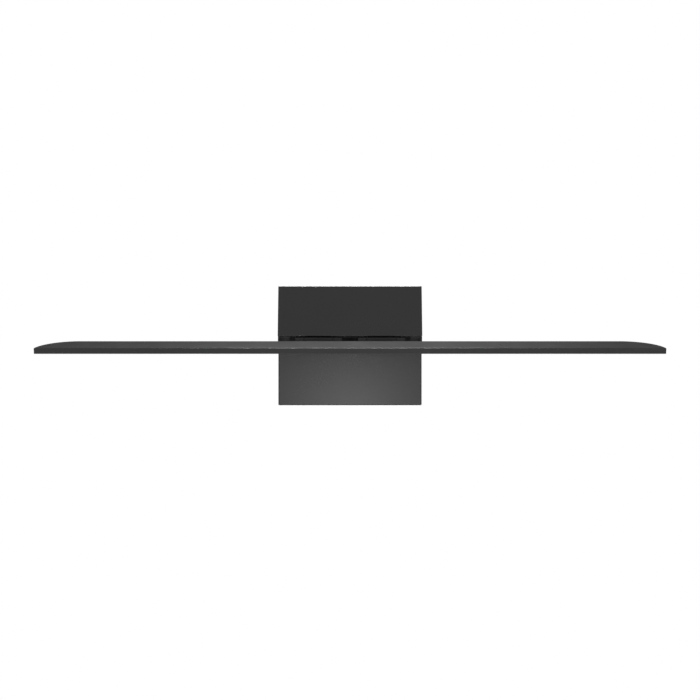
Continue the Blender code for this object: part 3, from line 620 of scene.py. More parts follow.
@dataclass(frozen=True)
class Finish:
    """One surface finish.

    Args:
        slot: the record's material slot.
        deep: the colour of the grain's low tone.
        light: the colour of the grain's high tone.
        roughness: the roughness at low and at high tone.
        grain: the texture of the surface.
        grain_values: the numbers of the grain's group, by the names of its inputs.
        relief: how far the grain's bump stands out, in metres.
        worn_and_highlit: the colour of sharp edges, from scuffing by hands and tools and as a
            painted highlight along them, or None.
        wear_and_highlight: the strength of that scuffing and painted highlight.
        dust: how much dust lies on what faces up.
        constants: numbers set on the shader's own sockets.
        name: the material's name, where several finishes share a slot.
    """

    slot: str
    deep: tuple[float, float, float]
    light: tuple[float, float, float]
    roughness: Span = (0.45, 0.5)
    grain: Grain = Grain.MOULD
    grain_values: dict[str, float] = field(default_factory=dict)
    relief: float = 0.00002
    worn_and_highlit: tuple[float, float, float] | None = None
    wear_and_highlight: float = 0.5
    dust: float = 0.0
    constants: dict[str, float] = field(default_factory=dict)
    name: str = ""

    def material(self) -> bpy.types.Material:
        """Gives the finish's material, which is built the first time it is asked for."""
        name = self.name or f"{self.slot}_finish"
        if name in bpy.data.materials:
            return bpy.data.materials[name]
        material = bpy.data.materials.new(name)
        material.use_nodes = True
        material.diffuse_color = (*self.light, 1)
        self._draw(Sheet(material.node_tree))
        return material

    def _draw(self, sheet: Sheet) -> None:
        """Draws the finish's nodes and links them to the shader."""
        shader = sheet.tree.nodes["Principled BSDF"]
        grain = sheet.group(getattr(Effects, self.grain.value)(), **self.grain_values)
        tone = sheet.ranged(grain.outputs["Tone"], 0.3, 0.7)
        colour = sheet.blend(tone, (*self.deep, 1), (*self.light, 1))
        roughness = sheet.ranged(tone, 0.0, 1.0, self.roughness)
        # Sharp outer edges turn lighter: partly scuffing by hands and tools, partly a painted
        # highlight along the edges.
        if self.worn_and_highlit:
            rubbed_and_highlit = sheet.group(Effects.edge_wear_and_highlight()).outputs["Mask"]
            rubbed_and_highlit = sheet.math("MULTIPLY", rubbed_and_highlit, self.wear_and_highlight)
            colour = sheet.blend(rubbed_and_highlit, colour, (*self.worn_and_highlit, 1))
            roughness = sheet.math("SUBTRACT", roughness, sheet.math("MULTIPLY", rubbed_and_highlit, 0.12))
        if self.dust:
            dust = sheet.group(Effects.settled_dust(), Amount=self.dust).outputs["Mask"]
            colour = sheet.blend(dust, colour, (0.42, 0.40, 0.37, 1))
            roughness = sheet.math("ADD", roughness, sheet.math("MULTIPLY", dust, 0.4))
        bump = sheet.add(
            "ShaderNodeBump",
            {"Height": grain.outputs["Height"], "Distance": self.relief, "Strength": 0.6},
        )
        for name, value in self.constants.items():
            shader.inputs[name].default_value = value
        for socket, value in (
            ("Base Color", colour), ("Roughness", roughness), ("Normal", bump.outputs[0]),
        ):
            sheet.tree.links.new(value, shader.inputs[socket])


METAL = {"Metallic": 1.0}
# The lighter edge colour given to each finish below is partly scuffing and partly a painted
# highlight along sharp edges.
COATED_STEEL = Finish(
    "coated_steel", (0.0155, 0.0155, 0.0168), (0.0205, 0.0205, 0.0222), (0.25, 0.28), Grain.COAT,
    {"Lumps": 1300.0, "Clouds": 9.0}, 0.00003, worn_and_highlit=(0.06, 0.06, 0.062), wear_and_highlight=0.35, dust=0.02,
)
COATED_ALUMINIUM = Finish(
    "coated_aluminium", (0.0155, 0.0155, 0.0168), (0.0205, 0.0205, 0.0222), (0.29, 0.32),
    Grain.COAT, {"Lumps": 1500.0, "Clouds": 7.0}, 0.00002, worn_and_highlit=(0.07, 0.07, 0.072), wear_and_highlight=0.3,
    dust=0.02,
)
CAST_COAT = {"roughness": (0.48, 0.56), "constants": {"Specular IOR Level": 0.4}}
COATED_BRACKET = replace(COATED_STEEL, name="bracket_finish", **CAST_COAT)
COATED_ARM = replace(COATED_ALUMINIUM, name="arm_finish", **CAST_COAT)
BLACK_STEEL = Finish(
    "black_steel", (0.010, 0.010, 0.011), (0.022, 0.022, 0.023), (0.36, 0.5), Grain.DRAWN,
    {"Across": 2200.0, "Along": 400.0}, 0.000006, worn_and_highlit=(0.12, 0.12, 0.12), wear_and_highlight=0.4,
    constants={"Metallic": 0.4},
)
ZINC_STEEL = Finish(
    "zinc_steel", (0.42, 0.43, 0.45), (0.60, 0.61, 0.62), (0.26, 0.42), Grain.DRAWN,
    {"Across": 1500.0, "Along": 700.0}, 0.000005, worn_and_highlit=(0.72, 0.72, 0.72), wear_and_highlight=0.5,
    constants=METAL,
)
BARE_ALUMINIUM = Finish(
    "bare_aluminium", (0.60, 0.61, 0.62), (0.78, 0.79, 0.80), (0.24, 0.36), Grain.DRAWN,
    {"Across": 2400.0, "Along": 25.0}, 0.000005, constants=METAL,
)
OPAL_ACRYLIC = Finish(
    "opal_acrylic", (0.80, 0.80, 0.775), (0.88, 0.88, 0.86), (0.30, 0.38), Grain.MOULD,
    {"Etch": 3200.0, "Flow": 12.0}, 0.000006,
    constants={"Subsurface Weight": 0.35, "Subsurface Scale": 0.002, "IOR": 1.49},
)
CIRCUIT_BOARD = Finish(
    "circuit_board", (0.74, 0.75, 0.73), (0.84, 0.85, 0.83), (0.38, 0.48), Grain.DRAWN,
    {"Across": 1700.0, "Along": 1700.0}, 0.000008,
)
DRIVER_PLASTIC = Finish(
    "driver_plastic", (0.68, 0.68, 0.66), (0.78, 0.78, 0.76), (0.46, 0.56), Grain.MOULD,
    {"Etch": 2200.0, "Flow": 30.0}, 0.00002,
)
ACETAL = Finish(
    "acetal", (0.018, 0.018, 0.018), (0.027, 0.027, 0.027), (0.34, 0.44), Grain.MOULD,
    {"Etch": 3000.0, "Flow": 120.0}, 0.00001,
)
BLACK_RUBBER = Finish(
    "black_rubber", (0.012, 0.012, 0.012), (0.024, 0.024, 0.024), (0.68, 0.82), Grain.MOULD,
    {"Etch": 2600.0, "Flow": 200.0}, 0.00003,
)
LEAD_SHEATH = Finish(
    "lead_sheath", (0.016, 0.016, 0.016), (0.03, 0.03, 0.03), (0.48, 0.58), Grain.MOULD,
    {"Etch": 2400.0, "Flow": 160.0}, 0.00001,
)
CORE_BLACK = Finish(
    "core_black", (0.014, 0.014, 0.014), (0.028, 0.028, 0.028), (0.36, 0.46), Grain.MOULD,
    {"Etch": 2600.0, "Flow": 180.0}, 0.000008,
)
CORE_WHITE = replace(
    CORE_BLACK, slot="core_white", deep=(0.70, 0.70, 0.67), light=(0.80, 0.80, 0.77)
)
CORE_GREEN = replace(
    CORE_BLACK, slot="core_green", deep=(0.012, 0.20, 0.045), light=(0.022, 0.29, 0.07)
)
NUT_ORANGE = Finish(
    "nut_orange", (0.62, 0.15, 0.015), (0.78, 0.22, 0.025), (0.40, 0.5), Grain.MOULD,
    {"Etch": 1800.0, "Flow": 90.0}, 0.00002,
)
NUT_GREEN = replace(
    NUT_ORANGE, slot="nut_green", deep=(0.02, 0.25, 0.06), light=(0.035, 0.34, 0.09)
)
GROUND_GREEN = Finish(
    "ground_green", (0.03, 0.22, 0.08), (0.05, 0.32, 0.12), (0.30, 0.42), Grain.DRAWN,
    {"Across": 1500.0, "Along": 700.0}, 0.000005, worn_and_highlit=(0.5, 0.5, 0.5), wear_and_highlight=0.6,
    constants={"Metallic": 0.7},
)
PHOSPHOR = Finish(
    "phosphor", (0.80, 0.62, 0.12), (0.88, 0.72, 0.22), (0.4, 0.5), Grain.MOULD,
    {"Etch": 6000.0, "Flow": 600.0}, 0.000005,
)
BLACK_RESIN = Finish(
    "black_resin", (0.014, 0.014, 0.015), (0.026, 0.026, 0.028), (0.4, 0.5), Grain.MOULD,
    {"Etch": 3000.0, "Flow": 200.0}, 0.000008,
)
COPPER_WIRE = Finish(
    "copper_wire", (0.55, 0.23, 0.11), (0.80, 0.38, 0.20), (0.25, 0.4), Grain.DRAWN,
    {"Across": 2600.0, "Along": 60.0}, 0.00001, constants=METAL,
)


# Fasteners


def threads(start: float, end: float, radius: float, pitch: float = 0.0005) -> list[Span]:
    """Gives the profile of a threaded shank, as crests and roots from start up to end."""
    root = radius - pitch * 0.45
    rings = [(start, radius * 0.6), (start + pitch * 0.6, root)]
    height = start + pitch
    while height < end - pitch:
        rings += [(height, radius), (height + pitch * 0.5, root)]
        height += pitch
    return [*rings, (end, root)]


@dataclass(frozen=True)
class PanScrew:
    """Pan head machine screw with a cross recess, upright with its head on height 0.

    Args:
        head_radius: radius of the head.
        head_height: height of the head.
        shank_radius: radius over the thread.
        length: length below the head.
    """

    head_radius: float
    head_height: float
    shank_radius: float
    length: float

    def make(self) -> Workpiece:
        """Turns the screw and cuts its recess."""
        wide, high = self.head_radius, self.head_height
        dome = [(0.0, 0.94), (0.12, 1.0), (0.5, 0.99), (0.75, 0.93), (0.92, 0.80), (1.0, 0.62)]
        profile = threads(-self.length, 0.0, self.shank_radius)
        profile += [(high * rise, wide * reach) for rise, reach in dome]
        screw = Workpiece.turned(profile, 28)
        arm, blade, floor = wide * 0.52, wide * 0.11, high * 0.35
        for xs, forwards in (((-arm, arm), (-blade, blade)), ((-blade, blade), (-arm, arm))):
            screw.cut(Workpiece.box(xs, forwards, (floor, high * 2)))
        return screw


@dataclass(frozen=True)
class FlatScrew:
    """Countersunk screw with a hexagon socket, its flat face at height 0.

    Args:
        head_radius: radius of the head.
        head_height: height of the cone.
        shank_radius: radius over the thread.
        length: whole length.
        socket: radius over the socket's corners.
    """

    head_radius: float
    head_height: float
    shank_radius: float
    length: float
    socket: float

    def make(self) -> Workpiece:
        """Turns the screw and cuts its socket."""
        rim = 0.0002
        profile = threads(-self.length, -self.head_height, self.shank_radius, 0.0004)
        profile += [
            (-rim, self.head_radius), (-rim * 0.3, self.head_radius),
            (0.0, self.head_radius - rim * 0.6),
        ]
        screw = Workpiece.turned(profile, 32)
        return screw.cut(
            Workpiece.turned(((-self.head_height * 0.75, self.socket), (0.001, self.socket)), 6)
        )

    def hole(self, room: float) -> Workpiece:
        """Gives the countersunk hole for the screw, that much larger all round."""
        return Workpiece.turned(
            (
                (-self.length - room, self.shank_radius + room),
                (-self.head_height - room, self.shank_radius + room),
                (-room, self.head_radius + room),
                (0.002, self.head_radius + room),
            ),
            32,
        )


class Fasteners:
    """Makes each kind of screw or nut once and copies it to its places."""

    SIDE = PanScrew(0.0038, 0.0020, 0.0018, 0.0056)
    BRACKET = PanScrew(0.0030, 0.0018, 0.0014, 0.0050)
    HOOD = PanScrew(0.0028, 0.0016, 0.0014, 0.0036)
    DRIVER = PanScrew(0.0028, 0.0016, 0.0013, 0.0042)
    GROUND = PanScrew(0.0030, 0.0018, 0.0014, 0.0032)
    ARM = FlatScrew(0.0028, 0.0016, 0.0014, 0.0068, 0.0012)
    COVER = FlatScrew(0.0019, 0.0009, 0.0009, 0.0040, 0.0008)

    def __init__(self) -> None:
        """Starts with an empty tray of masters."""
        self.masters: dict[PanScrew | FlatScrew | str, Workpiece] = {}

    def screw(self, kind: PanScrew | FlatScrew, place: Vector, outward: Vector) -> Workpiece:
        """Gives a copy of a screw with its head at the place, facing outward."""
        if kind not in self.masters:
            self.masters[kind] = kind.make()
        return self.masters[kind].copy().stand(place, outward)

    def nut(self, place: Vector, outward: Vector) -> Workpiece:
        """Gives a chamfered hexagon nut that lies on the place."""
        if "nut" not in self.masters:
            across, high, bore, chamfer, past = 0.004, 0.003, 0.0021, 0.0003, 0.0002
            edge, mouth = across * 0.9, bore + 0.0004
            rounding = ((0, edge), (chamfer, across), (high - chamfer, across), (high, edge))
            hole = ((-past, mouth), (chamfer, bore), (high - chamfer, bore), (high + past, mouth))
            nut = Workpiece.turned(((0, across), (high, across)), 6)
            nut.trim(Workpiece.turned(rounding, 36))
            nut.cut(Workpiece.turned(hole, 28))
            self.masters["nut"] = nut
        return self.masters["nut"].copy().stand(place, outward)

    def clear_tray(self) -> None:
        """Discards the masters."""
        for master in self.masters.values():
            master.discard()
        self.masters.clear()


# Canopy


@dataclass
class Slope:
    """The straight line of the hood's face in side view, as (forward, height).

    Args:
        lip: its lowest, foremost point.
        top: its highest point.
    """

    lip: Vector
    top: Vector

    @property
    def run(self) -> Vector:
        """Gives the way up the slope."""
        return (self.top - self.lip).normalized()

    @property
    def outward(self) -> Vector:
        """Gives the direction that the slope faces, in space."""
        return at(0, self.run.y, -self.run.x)

    def upward(self) -> Vector:
        """Gives the way up the slope, in space."""
        return at(0, *self.run)

    def point(self, height: float, depth: float) -> Vector:
        """Gives the point at that height on the line that lies depth behind the face."""
        start = self.lip - Vector((self.run.y, -self.run.x)) * depth
        place = start + self.run * (height - start.y) / self.run.y
        return at(0, *place)


# Radii of the canopy's holes, by what goes through them.
HOLES = {
    "side_screw": 0.0023, "hood_screw": 0.0018, "hood_tap": 0.0016, "ear_tap": 0.0021,
    "supply": 0.0035, "lead": 0.004, "ground_screw": 0.0018, "stud": 0.0022,
    "bracket_screw": 0.0019, "driver_screw": 0.0016,
}


@dataclass
class Canopy:
    """The wall canopy: folded cover, hood panel, crossbar and chassis.

    Args:
        fasteners: the tray that screws and nuts come from.
        sheet: thickness of the folded steel.
        depth: how far the lower face stands from the wall.
        slot_bottom: height of the slot's lower edge.
        cheek_step: height over which the cheeks lean out from the lower face.
        lip_height: height of the hood's lip.
        top_forward: how far forward the top of the hood's face is.
        panel: thickness of the hood panel.
        fold: rounding of the cover's outer edges.
        baffle_start: x where the baffle behind each end of the slot begins.
        baffle_sheet: thickness of those baffles.
        baffle_lap: how far they reach past the slot, below and above.
        chassis: the back and front of the chassis plate.
        chassis_heights: its lowest and highest height.
        chassis_half: half of its width.
        studs: x and height of the lower and of the upper stud on each side.
        side_screw: forward and height of the screw in each side.
        hood_screw: x and height of each screw behind the hood.
        ear: half the height of the crossbar's ears.
        ear_forward: how far forward the ears reach.
        box_slot: the x range of the crossbar's slot for the wall box.
        box_slot_half: half the height of that slot.
    """

    fasteners: Fasteners
    sheet: float = 0.0015
    depth: float = 0.025
    slot_bottom: float = -0.0075
    cheek_step: float = 0.003
    lip_height: float = 0.0098
    top_forward: float = 0.0257
    panel: float = 0.003
    fold: float = 0.001
    baffle_start: float = 0.0615
    baffle_sheet: float = 0.0012
    baffle_lap: Span = (0.0010, 0.0012)
    chassis: Span = (0.0152, 0.0172)
    chassis_heights: Span = (-0.034, 0.056)
    chassis_half: float = 0.062
    studs: tuple[Span, Span] = ((0.056, -0.028), (0.056, 0.050))
    side_screw: Span = (0.008, -0.002)
    hood_screw: Span = (0.040, 0.036)
    ear: float = 0.007
    ear_forward: float = 0.0135
    box_slot: Span = (0.034, 0.045)
    box_slot_half: float = 0.0024

    def __post_init__(self) -> None:
        """Works out the canopy's outer sizes from the frame."""
        self.half_width = node_span("canopy_cover", 0)[1]
        self.half_height = node_span("canopy_cover", 2)[1]
        lip_forward = -node_span("hood_panel", 1)[0]
        self.slope = Slope(
            Vector((lip_forward, self.lip_height)), Vector((self.top_forward, self.half_height))
        )
        self.cheek = lip_forward - self.panel - GAP

    def build(self) -> None:
        """Builds and fits every piece of the canopy."""
        fit(self._cover(), "canopy_cover", COATED_STEEL, Body.CANOPY)
        fit(self._hood(), "hood_panel", COATED_STEEL, Body.CANOPY)
        fit(self._crossbar(), "crossbar", ZINC_STEEL, Body.CANOPY)
        fit(self._chassis(), "chassis_plate", BLACK_STEEL, Body.CANOPY)
        fit(self._grommet(), "cable_grommet", BLACK_RUBBER, Body.CANOPY)
        self._screws()

    def _cover(self) -> Workpiece:
        """Folds the cover: flat lower face, stepped cheeks, slope, and the slot's baffles."""
        wide, high = self.half_width, self.half_height
        seat = self.panel + GAP
        shell = Workpiece.box((-wide, wide), (GAP, self.cheek), (-high, high))
        shell.slice(self.slope.point(0, seat), self.slope.outward)
        for level in (self.slot_bottom, self.slot_bottom + self.cheek_step):
            shell.slice(at(0, 0, level), UP, keep_all=True)
        front = self.cheek - 1e-5
        shell.shift(
            lambda point: -point.y > front and point.z < self.slot_bottom + 1e-5,
            at(0, self.depth - self.cheek, 0),
        )
        shell.remove_faces(lambda middle, normal: normal.y > 0.9)
        shell.apply("SOLIDIFY", thickness=self.sheet, offset=-1.0, use_even_offset=True)
        shell.round_edges(
            lambda a, b, turn: turn > 0.15 and self._on_skin(a) and self._on_skin(b)
            and max(-a.y, -b.y) > 2 * GAP, self.fold, 4,
        )
        inner = wide - self.sheet
        mouth = (self.slot_bottom, self.lip_height + 0.0005)
        shell.cut(Workpiece.box((-inner, inner), (self.chassis[1], 2 * self.depth), mouth))
        shell.round_edges(
            lambda a, b, turn: turn > 1.0 and abs(a.z - b.z) < 1e-6
            and min(abs(a.z - mouth[0]), abs(a.z - mouth[1])) < 1e-5
            and abs(a.x - b.x) > 0.01,
            0.0003, 2,
        )
        for sign in SIDES.values():
            self._add_baffle(shell, sign, mouth)
            for x, height in self.studs:
                self._add_stud(shell, sign * x, height)
        forward, height = self.side_screw
        for sign in SIDES.values():
            ends = [at(sign * (wide + reach), forward, height) for reach in (-0.004, 0.004)]
            shell.cut(Workpiece.rod(*ends, HOLES["side_screw"]))
        for place in self.hood_screw_places():
            reach = self.slope.outward * 0.003
            shell.cut(Workpiece.rod(place - reach, place + reach, HOLES["hood_screw"]))
        return shell

    def _on_skin(self, point: Vector) -> bool:
        """Tells whether a point lies on the outer side of the cover's sides, top or foot."""
        beside = abs(point.x) > self.half_width - 1e-5
        return beside or abs(point.z) > self.half_height - 1e-5

    def _add_baffle(self, shell: Workpiece, sign: int, mouth: Span) -> None:
        """Welds the strip that closes off one end of the slot from the inside."""
        rear = self.chassis[1] + GAP
        bite = 0.0004
        below, above = self.baffle_lap
        shell.fuse(
            Workpiece.box(
                span(sign, self.baffle_start, self.half_width - self.sheet + bite),
                (rear, rear + self.baffle_sheet), (mouth[0] - below, mouth[1] + above),
            )
        )

    def _add_stud(self, shell: Workpiece, x: float, height: float) -> None:
        """Welds a threaded stud with its shoulder to the inside of the cover."""
        shoulder = self.chassis[1] + GAP
        radius, bite = 0.004, self.sheet * 0.6
        wall = self.depth - bite
        if height > 0:
            wall = -self.slope.point(height + radius, self.panel + GAP + bite).y
        tip = self.chassis[0] - 0.0048
        profile = threads(0.0, shoulder - tip - 0.0002, 0.0019, 0.0006)
        profile += [
            (shoulder - tip, radius - 0.0004), (shoulder - tip + 0.0004, radius),
            (wall - tip, radius),
        ]
        shell.fuse(Workpiece.turned(profile, 28).stand(at(x, tip, height), TO_ROOM))

    def hood_screw_places(self) -> list[Vector]:
        """Gives where the hood's screws pass the inner face of the slope, left one first."""
        x, height = self.hood_screw
        place = self.slope.point(height, self.panel + GAP + self.sheet)
        return [place + Vector((sign * x, 0, 0)) for sign in SIDES.values()]

    def _hood(self) -> Workpiece:
        """Cuts the thick hood panel from a block, square at its lip and level at its top."""
        low = self.lip_height - self.panel
        front, back = self.slope.lip.x + 0.001, self.slope.top.x - 0.01
        panel = Workpiece.box(
            (-self.half_width, self.half_width), (back, front), (low, self.half_height)
        )
        panel.slice(self.slope.point(0, 0), self.slope.outward)
        panel.slice(self.slope.point(0, self.panel), -self.slope.outward)
        panel.slice(at(0, *self.slope.lip), -self.slope.upward())
        panel.soften(0.0005, 3)
        for place in self.hood_screw_places():
            reach = self.slope.outward * (self.sheet + GAP + 0.0022)
            panel.cut(Workpiece.rod(place, place + reach, HOLES["hood_tap"]))
        return panel

    def _crossbar(self) -> Workpiece:
        """Bends the strap: an ear at each end, box slots, and a tapped hole in each ear."""
        half, tall, ear = self.half_width - self.sheet - GAP, 0.011, self.ear
        forward, height = self.side_screw
        strap = Workpiece.box((-half, half), (0, self.sheet), (-tall, tall))
        for edge in (half - self.sheet, self.sheet - half):
            strap.slice(Vector((edge, 0, 0)), Vector((1, 0, 0)), keep_all=True)
        for level in (height - ear, height + ear):
            strap.slice(at(0, 0, level), UP, keep_all=True)
        strap.extrude(
            lambda middle, normal: normal.y < -0.9 and abs(middle.x) > half - self.sheet
            and abs(middle.z - height) < ear,
            at(0, self.ear_forward - self.sheet, 0),
        )
        strap.round_edges(
            lambda a, b, turn: turn > 1.2 and abs(a.x - b.x) > 1e-4
            and min(-a.y, -b.y) > 0.01, 0.003, 4,
        )
        strap.round_edges(
            lambda a, b, turn: turn > 1.2 and abs(a.z - b.z) > 0.005
            and max(-a.y, -b.y) < 1e-5 and abs(a.x) > half - 1e-4, 0.0012, 3,
        )
        strap.weld_seams()
        for sign in SIDES.values():
            ends = [at(sign * (half + reach), forward, height) for reach in (-0.005, 0.005)]
            strap.cut(Workpiece.rod(*ends, HOLES["ear_tap"]))
            heights = (-self.box_slot_half, self.box_slot_half)
            slot = Workpiece.box(span(sign, *self.box_slot), (-0.005, 0.005), heights)
            slot.round_edges(lambda a, b, turn: abs(a.y - b.y) > 0.001, 0.0023, 6)
            strap.cut(slot)
        strap.cut(Workpiece.rod(at(0, -0.005, 0), at(0, 0.005, 0), HOLES["supply"]))
        return strap.soften(0.00015, 1, 50)

    def _chassis(self) -> Workpiece:
        """Punches the chassis plate and rounds its corners."""
        half = self.chassis_half
        plate = Workpiece.box((-half, half), self.chassis, self.chassis_heights)
        plate.round_edges(lambda a, b, turn: abs(a.y - b.y) > 0.001, 0.004, 6)
        ground = Wiring.ground_screw
        holes = [(0.0, AXIS.z, "lead"), (ground.x, ground.z, "ground_screw")]
        for sign in SIDES.values():
            holes += [(sign * x, height, "stud") for x, height in self.studs]
            holes += [(sign * x, height, "bracket_screw") for x, height in Hinge.screws]
            holes += [(sign * Driver.screw[0], Driver.screw[1], "driver_screw")]
        back, front = self.chassis
        for x, height, use in holes:
            ends = [at(x, forward, height) for forward in (back - 0.002, front + 0.002)]
            plate.cut(Workpiece.rod(*ends, HOLES[use], 28))
        return plate.soften(0.00015, 1, 50)

    def _grommet(self) -> Workpiece:
        """Moulds the rubber ring that lines the lead's hole."""
        back, front = self.chassis[0] - GAP, self.chassis[1] + GAP
        middle = (front - back) / 2
        half = middle + 0.001
        edge, flange, neck, bore, chamfer = 0.0044, 0.0052, 0.0037, 0.0019, 0.0003
        profile = (
            (-half, edge), (-half + chamfer, flange), (-middle, flange), (-middle, neck),
            (middle, neck), (middle, flange), (half - chamfer, flange), (half, edge),
        )
        ring = Workpiece.turned(profile, 36)
        ring.cut(Workpiece.turned(((-0.01, bore), (0.01, bore)), 28))
        return ring.stand(at(0, back + middle, AXIS.z), TO_ROOM)

    def _screws(self) -> None:
        """Fits the canopy's own screws and nuts."""
        forward, height = self.side_screw
        inward = self.chassis[0] - GAP
        for (side, sign), hood_place in zip(SIDES.items(), self.hood_screw_places()):
            outward = Vector((sign, 0, 0))
            place = at(sign * (self.half_width + GAP), forward, height)
            screw = self.fasteners.screw(Fasteners.SIDE, place, outward)
            fit(screw, f"side_screw_{side}", BLACK_STEEL, Body.CANOPY)
            place = hood_place - self.slope.outward * GAP
            screw = self.fasteners.screw(Fasteners.HOOD, place, -self.slope.outward)
            fit(screw, f"hood_screw_{side}", ZINC_STEEL, Body.CANOPY)
            for level, (x, level_height) in zip(("lower", "upper"), self.studs):
                nut = self.fasteners.nut(at(sign * x, inward, level_height), TO_WALL)
                fit(nut, f"chassis_nut_{level}_{side}", ZINC_STEEL, Body.CANOPY)


# Hinges


@dataclass
class Hinge:
    """One friction hinge: fixed bracket, pin, washers and the arm that turns on them.

    Args:
        fasteners: the tray that screws come from.
        side: left or right.
        inner: x of the bracket's end near the middle.
        outer: x of its far end.
        knuckle: length of each fixed knuckle.
        radius: radius of the knuckles.
        block: how far forward and how high the knuckles' squared upper front reaches.
        chin: the height where that flat front ends.
        pin_radius: radius of the pin.
        washer_room: the room that a washer has along the pin.
        base: the back and front of the bracket's base.
        base_heights: its lowest and highest height.
        arm_low: height of the arm's underside.
        arm_high: height of its top.
        foot_front: how far forward the foot reaches.
        foot_back: where the foot begins.
        screw_spread: distance of the arm's screws from its middle.
        screw_forward: how far forward those screws are.
        screws: x and height of the inner and of the outer bracket screw.
    """

    fasteners: Fasteners
    side: str
    inner: float = 0.0081
    outer: float = 0.0551
    knuckle: float = 0.0084
    radius: float = 0.0067
    block: Span = (0.0062, 0.0065)
    chin: float = -0.0042
    pin_radius: float = 0.0025
    washer_room: float = 0.0008
    base: Span = (0.0175, 0.0206)
    base_heights: Span = (-0.010, 0.0135)
    arm_low: float = -0.0019
    arm_high: float = 0.0015
    foot_front: float = 0.0352
    foot_back: float = 0.0243
    screw_spread: float = 0.0125
    screw_forward: float = 0.0296
    screws: tuple[Span, ...] = ((0.0225, 0.0095), (0.0405, -0.0055))

    def build(self) -> None:
        """Builds and fits the hinge's pieces."""
        side = self.side
        fit(self._bracket(), f"hinge_bracket_{side}", COATED_BRACKET, Body.CANOPY)
        fit(self._pin(), f"hinge_pin_{side}", ZINC_STEEL, Body.CANOPY)
        for end, x in self._washer_places().items():
            fit(self._washer(x), f"thrust_washer_{end}_{side}", ACETAL, Body.CANOPY)
        for rank, (x, height) in zip(("inner", "outer"), self.screws):
            place = at(self.sign * x, Canopy.chassis[0] - GAP, height)
            screw = self.fasteners.screw(Fasteners.BRACKET, place, TO_WALL)
            fit(screw, f"bracket_screw_{rank}_{side}", ZINC_STEEL, Body.CANOPY)
        fit(self._arm(), f"arm_{side}", COATED_ARM, Body.BAR)
        for rank, x in self.screw_places():
            screw = self.fasteners.screw(
                Fasteners.ARM, at(x, self.screw_forward, self.arm_low), DOWN
            )
            fit(screw.tilt(), f"arm_screw_{side}_{rank}", ZINC_STEEL, Body.BAR)

    @property
    def sign(self) -> int:
        """Gives -1 on the left and 1 on the right."""
        return SIDES[self.side]

    @property
    def moving(self) -> Span:
        """Gives the x range of the moving knuckle."""
        taken = self.knuckle + self.washer_room
        return span(self.sign, self.inner + taken, self.outer - taken)

    def screw_places(self) -> list[tuple[str, float]]:
        """Gives the rank and x of the arm's two screws."""
        centre = sum(self.moving) / 2
        return [("left", centre - self.screw_spread), ("right", centre + self.screw_spread)]

    def _barrel(self, xs: Span, radius: float, chamfer: float = 0.0004) -> Workpiece:
        """Turns a barrel with chamfered ends that lies along the hinge axis, at height 0."""
        long = xs[1] - xs[0]
        profile = (
            (0, radius - chamfer), (chamfer, radius), (long - chamfer, radius),
            (long, radius - chamfer),
        )
        return Workpiece.turned(profile, 56).stand(Vector((xs[0], 0, 0)), Vector((1, 0, 0)))

    def _squared(self, xs: Span, turn: float = 0.0) -> Workpiece:
        """Makes a knuckle: a barrel whose upper front is squared up with a flat face.

        Args:
            xs: its x range.
            turn: how far it is turned about the hinge axis.

        Returns:
            The knuckle, on a hinge axis at forward and height 0.
        """
        front, top = self.block
        corner = Workpiece.box((xs[0] + 0.0001, xs[1] - 0.0001), (0, front), (self.chin, top))
        corner.round_edges(
            lambda a, b, angle: abs(a.x - b.x) > 1e-3 and max(a.z, b.z) > top - 1e-5, 0.0007, 4
        )
        corner.round_edges(
            lambda a, b, angle: angle > 0.5 and abs(a.x - b.x) < 1e-6
            and min(-a.y, -b.y) > front - 1e-5, 0.0002, 2,
        )
        corner.body.matrix_world = Matrix.Rotation(turn, 4, "X")
        return self._barrel(xs, self.radius).fuse(corner.settle())

    def _on_axis(self, piece: Workpiece) -> Workpiece:
        """Moves a piece from the hinge's own frame to the axis, without the tilt."""
        piece.body.location = AXIS
        return piece.settle()

    def _bracket(self) -> Workpiece:
        """Casts the bracket: a base with a web and a bored knuckle at each end."""
        ends = span(self.sign, self.inner, self.outer)
        bracket = Workpiece.box(ends, self.base, self.base_heights)
        bracket.round_edges(lambda a, b, turn: abs(a.y - b.y) > 0.001, 0.0012, 4)
        bracket.round_edges(
            lambda a, b, turn: turn > 0.5 and min(-a.y, -b.y) > self.base[1] - 1e-5, 0.0003, 2
        )
        reach = self.radius * 0.85
        for near in (self.inner, self.outer - self.knuckle):
            xs = span(self.sign, near, near + self.knuckle)
            inset = (xs[0] + 0.0002, xs[1] - 0.0002)
            web = Workpiece.box(
                inset, (self.base[1] - 0.001, -AXIS.y), (AXIS.z - reach, AXIS.z + reach)
            )
            bracket.fuse(web, self._on_axis(self._squared(xs)))
        bore = self._barrel((ends[0] - 0.005, ends[1] + 0.005), self.pin_radius + 0.0001)
        bracket.cut(self._on_axis(bore))
        for x, height in self.screws:
            place = at(self.sign * x, self.base[0] - 0.004, height)
            bracket.cut(Workpiece.rod(place, at(place.x, self.base[1] - 0.0005, height), 0.0016, 24))
        return bracket

    def _pin(self) -> Workpiece:
        """Turns the pin, with a fine knurl of rings near its ends."""
        xs = span(self.sign, self.inner + GAP, self.outer - GAP)
        long, radius = xs[1] - xs[0], self.pin_radius
        profile: list[Span] = [(0, radius - 0.0005), (0.0005, radius)]
        pitch, dip = 0.0006, 0.00012
        for start in (0.0012, long - 0.0040):
            for ring in range(5):
                place = start + ring * pitch
                profile += [(place, radius), (place + pitch / 3, radius - dip)]
                profile.append((place + pitch * 2 / 3, radius))
        profile += [(long - 0.0005, radius), (long, radius - 0.0005)]
        pin = Workpiece.turned(profile, 36).stand(Vector((xs[0], 0, 0)), Vector((1, 0, 0)))
        return self._on_axis(pin)

    def _washer_places(self) -> dict[str, float]:
        """Gives the x of each washer's middle."""
        near = self.inner + self.knuckle + self.washer_room / 2
        far = self.outer - self.knuckle - self.washer_room / 2
        return {"inner": self.sign * near, "outer": self.sign * far}

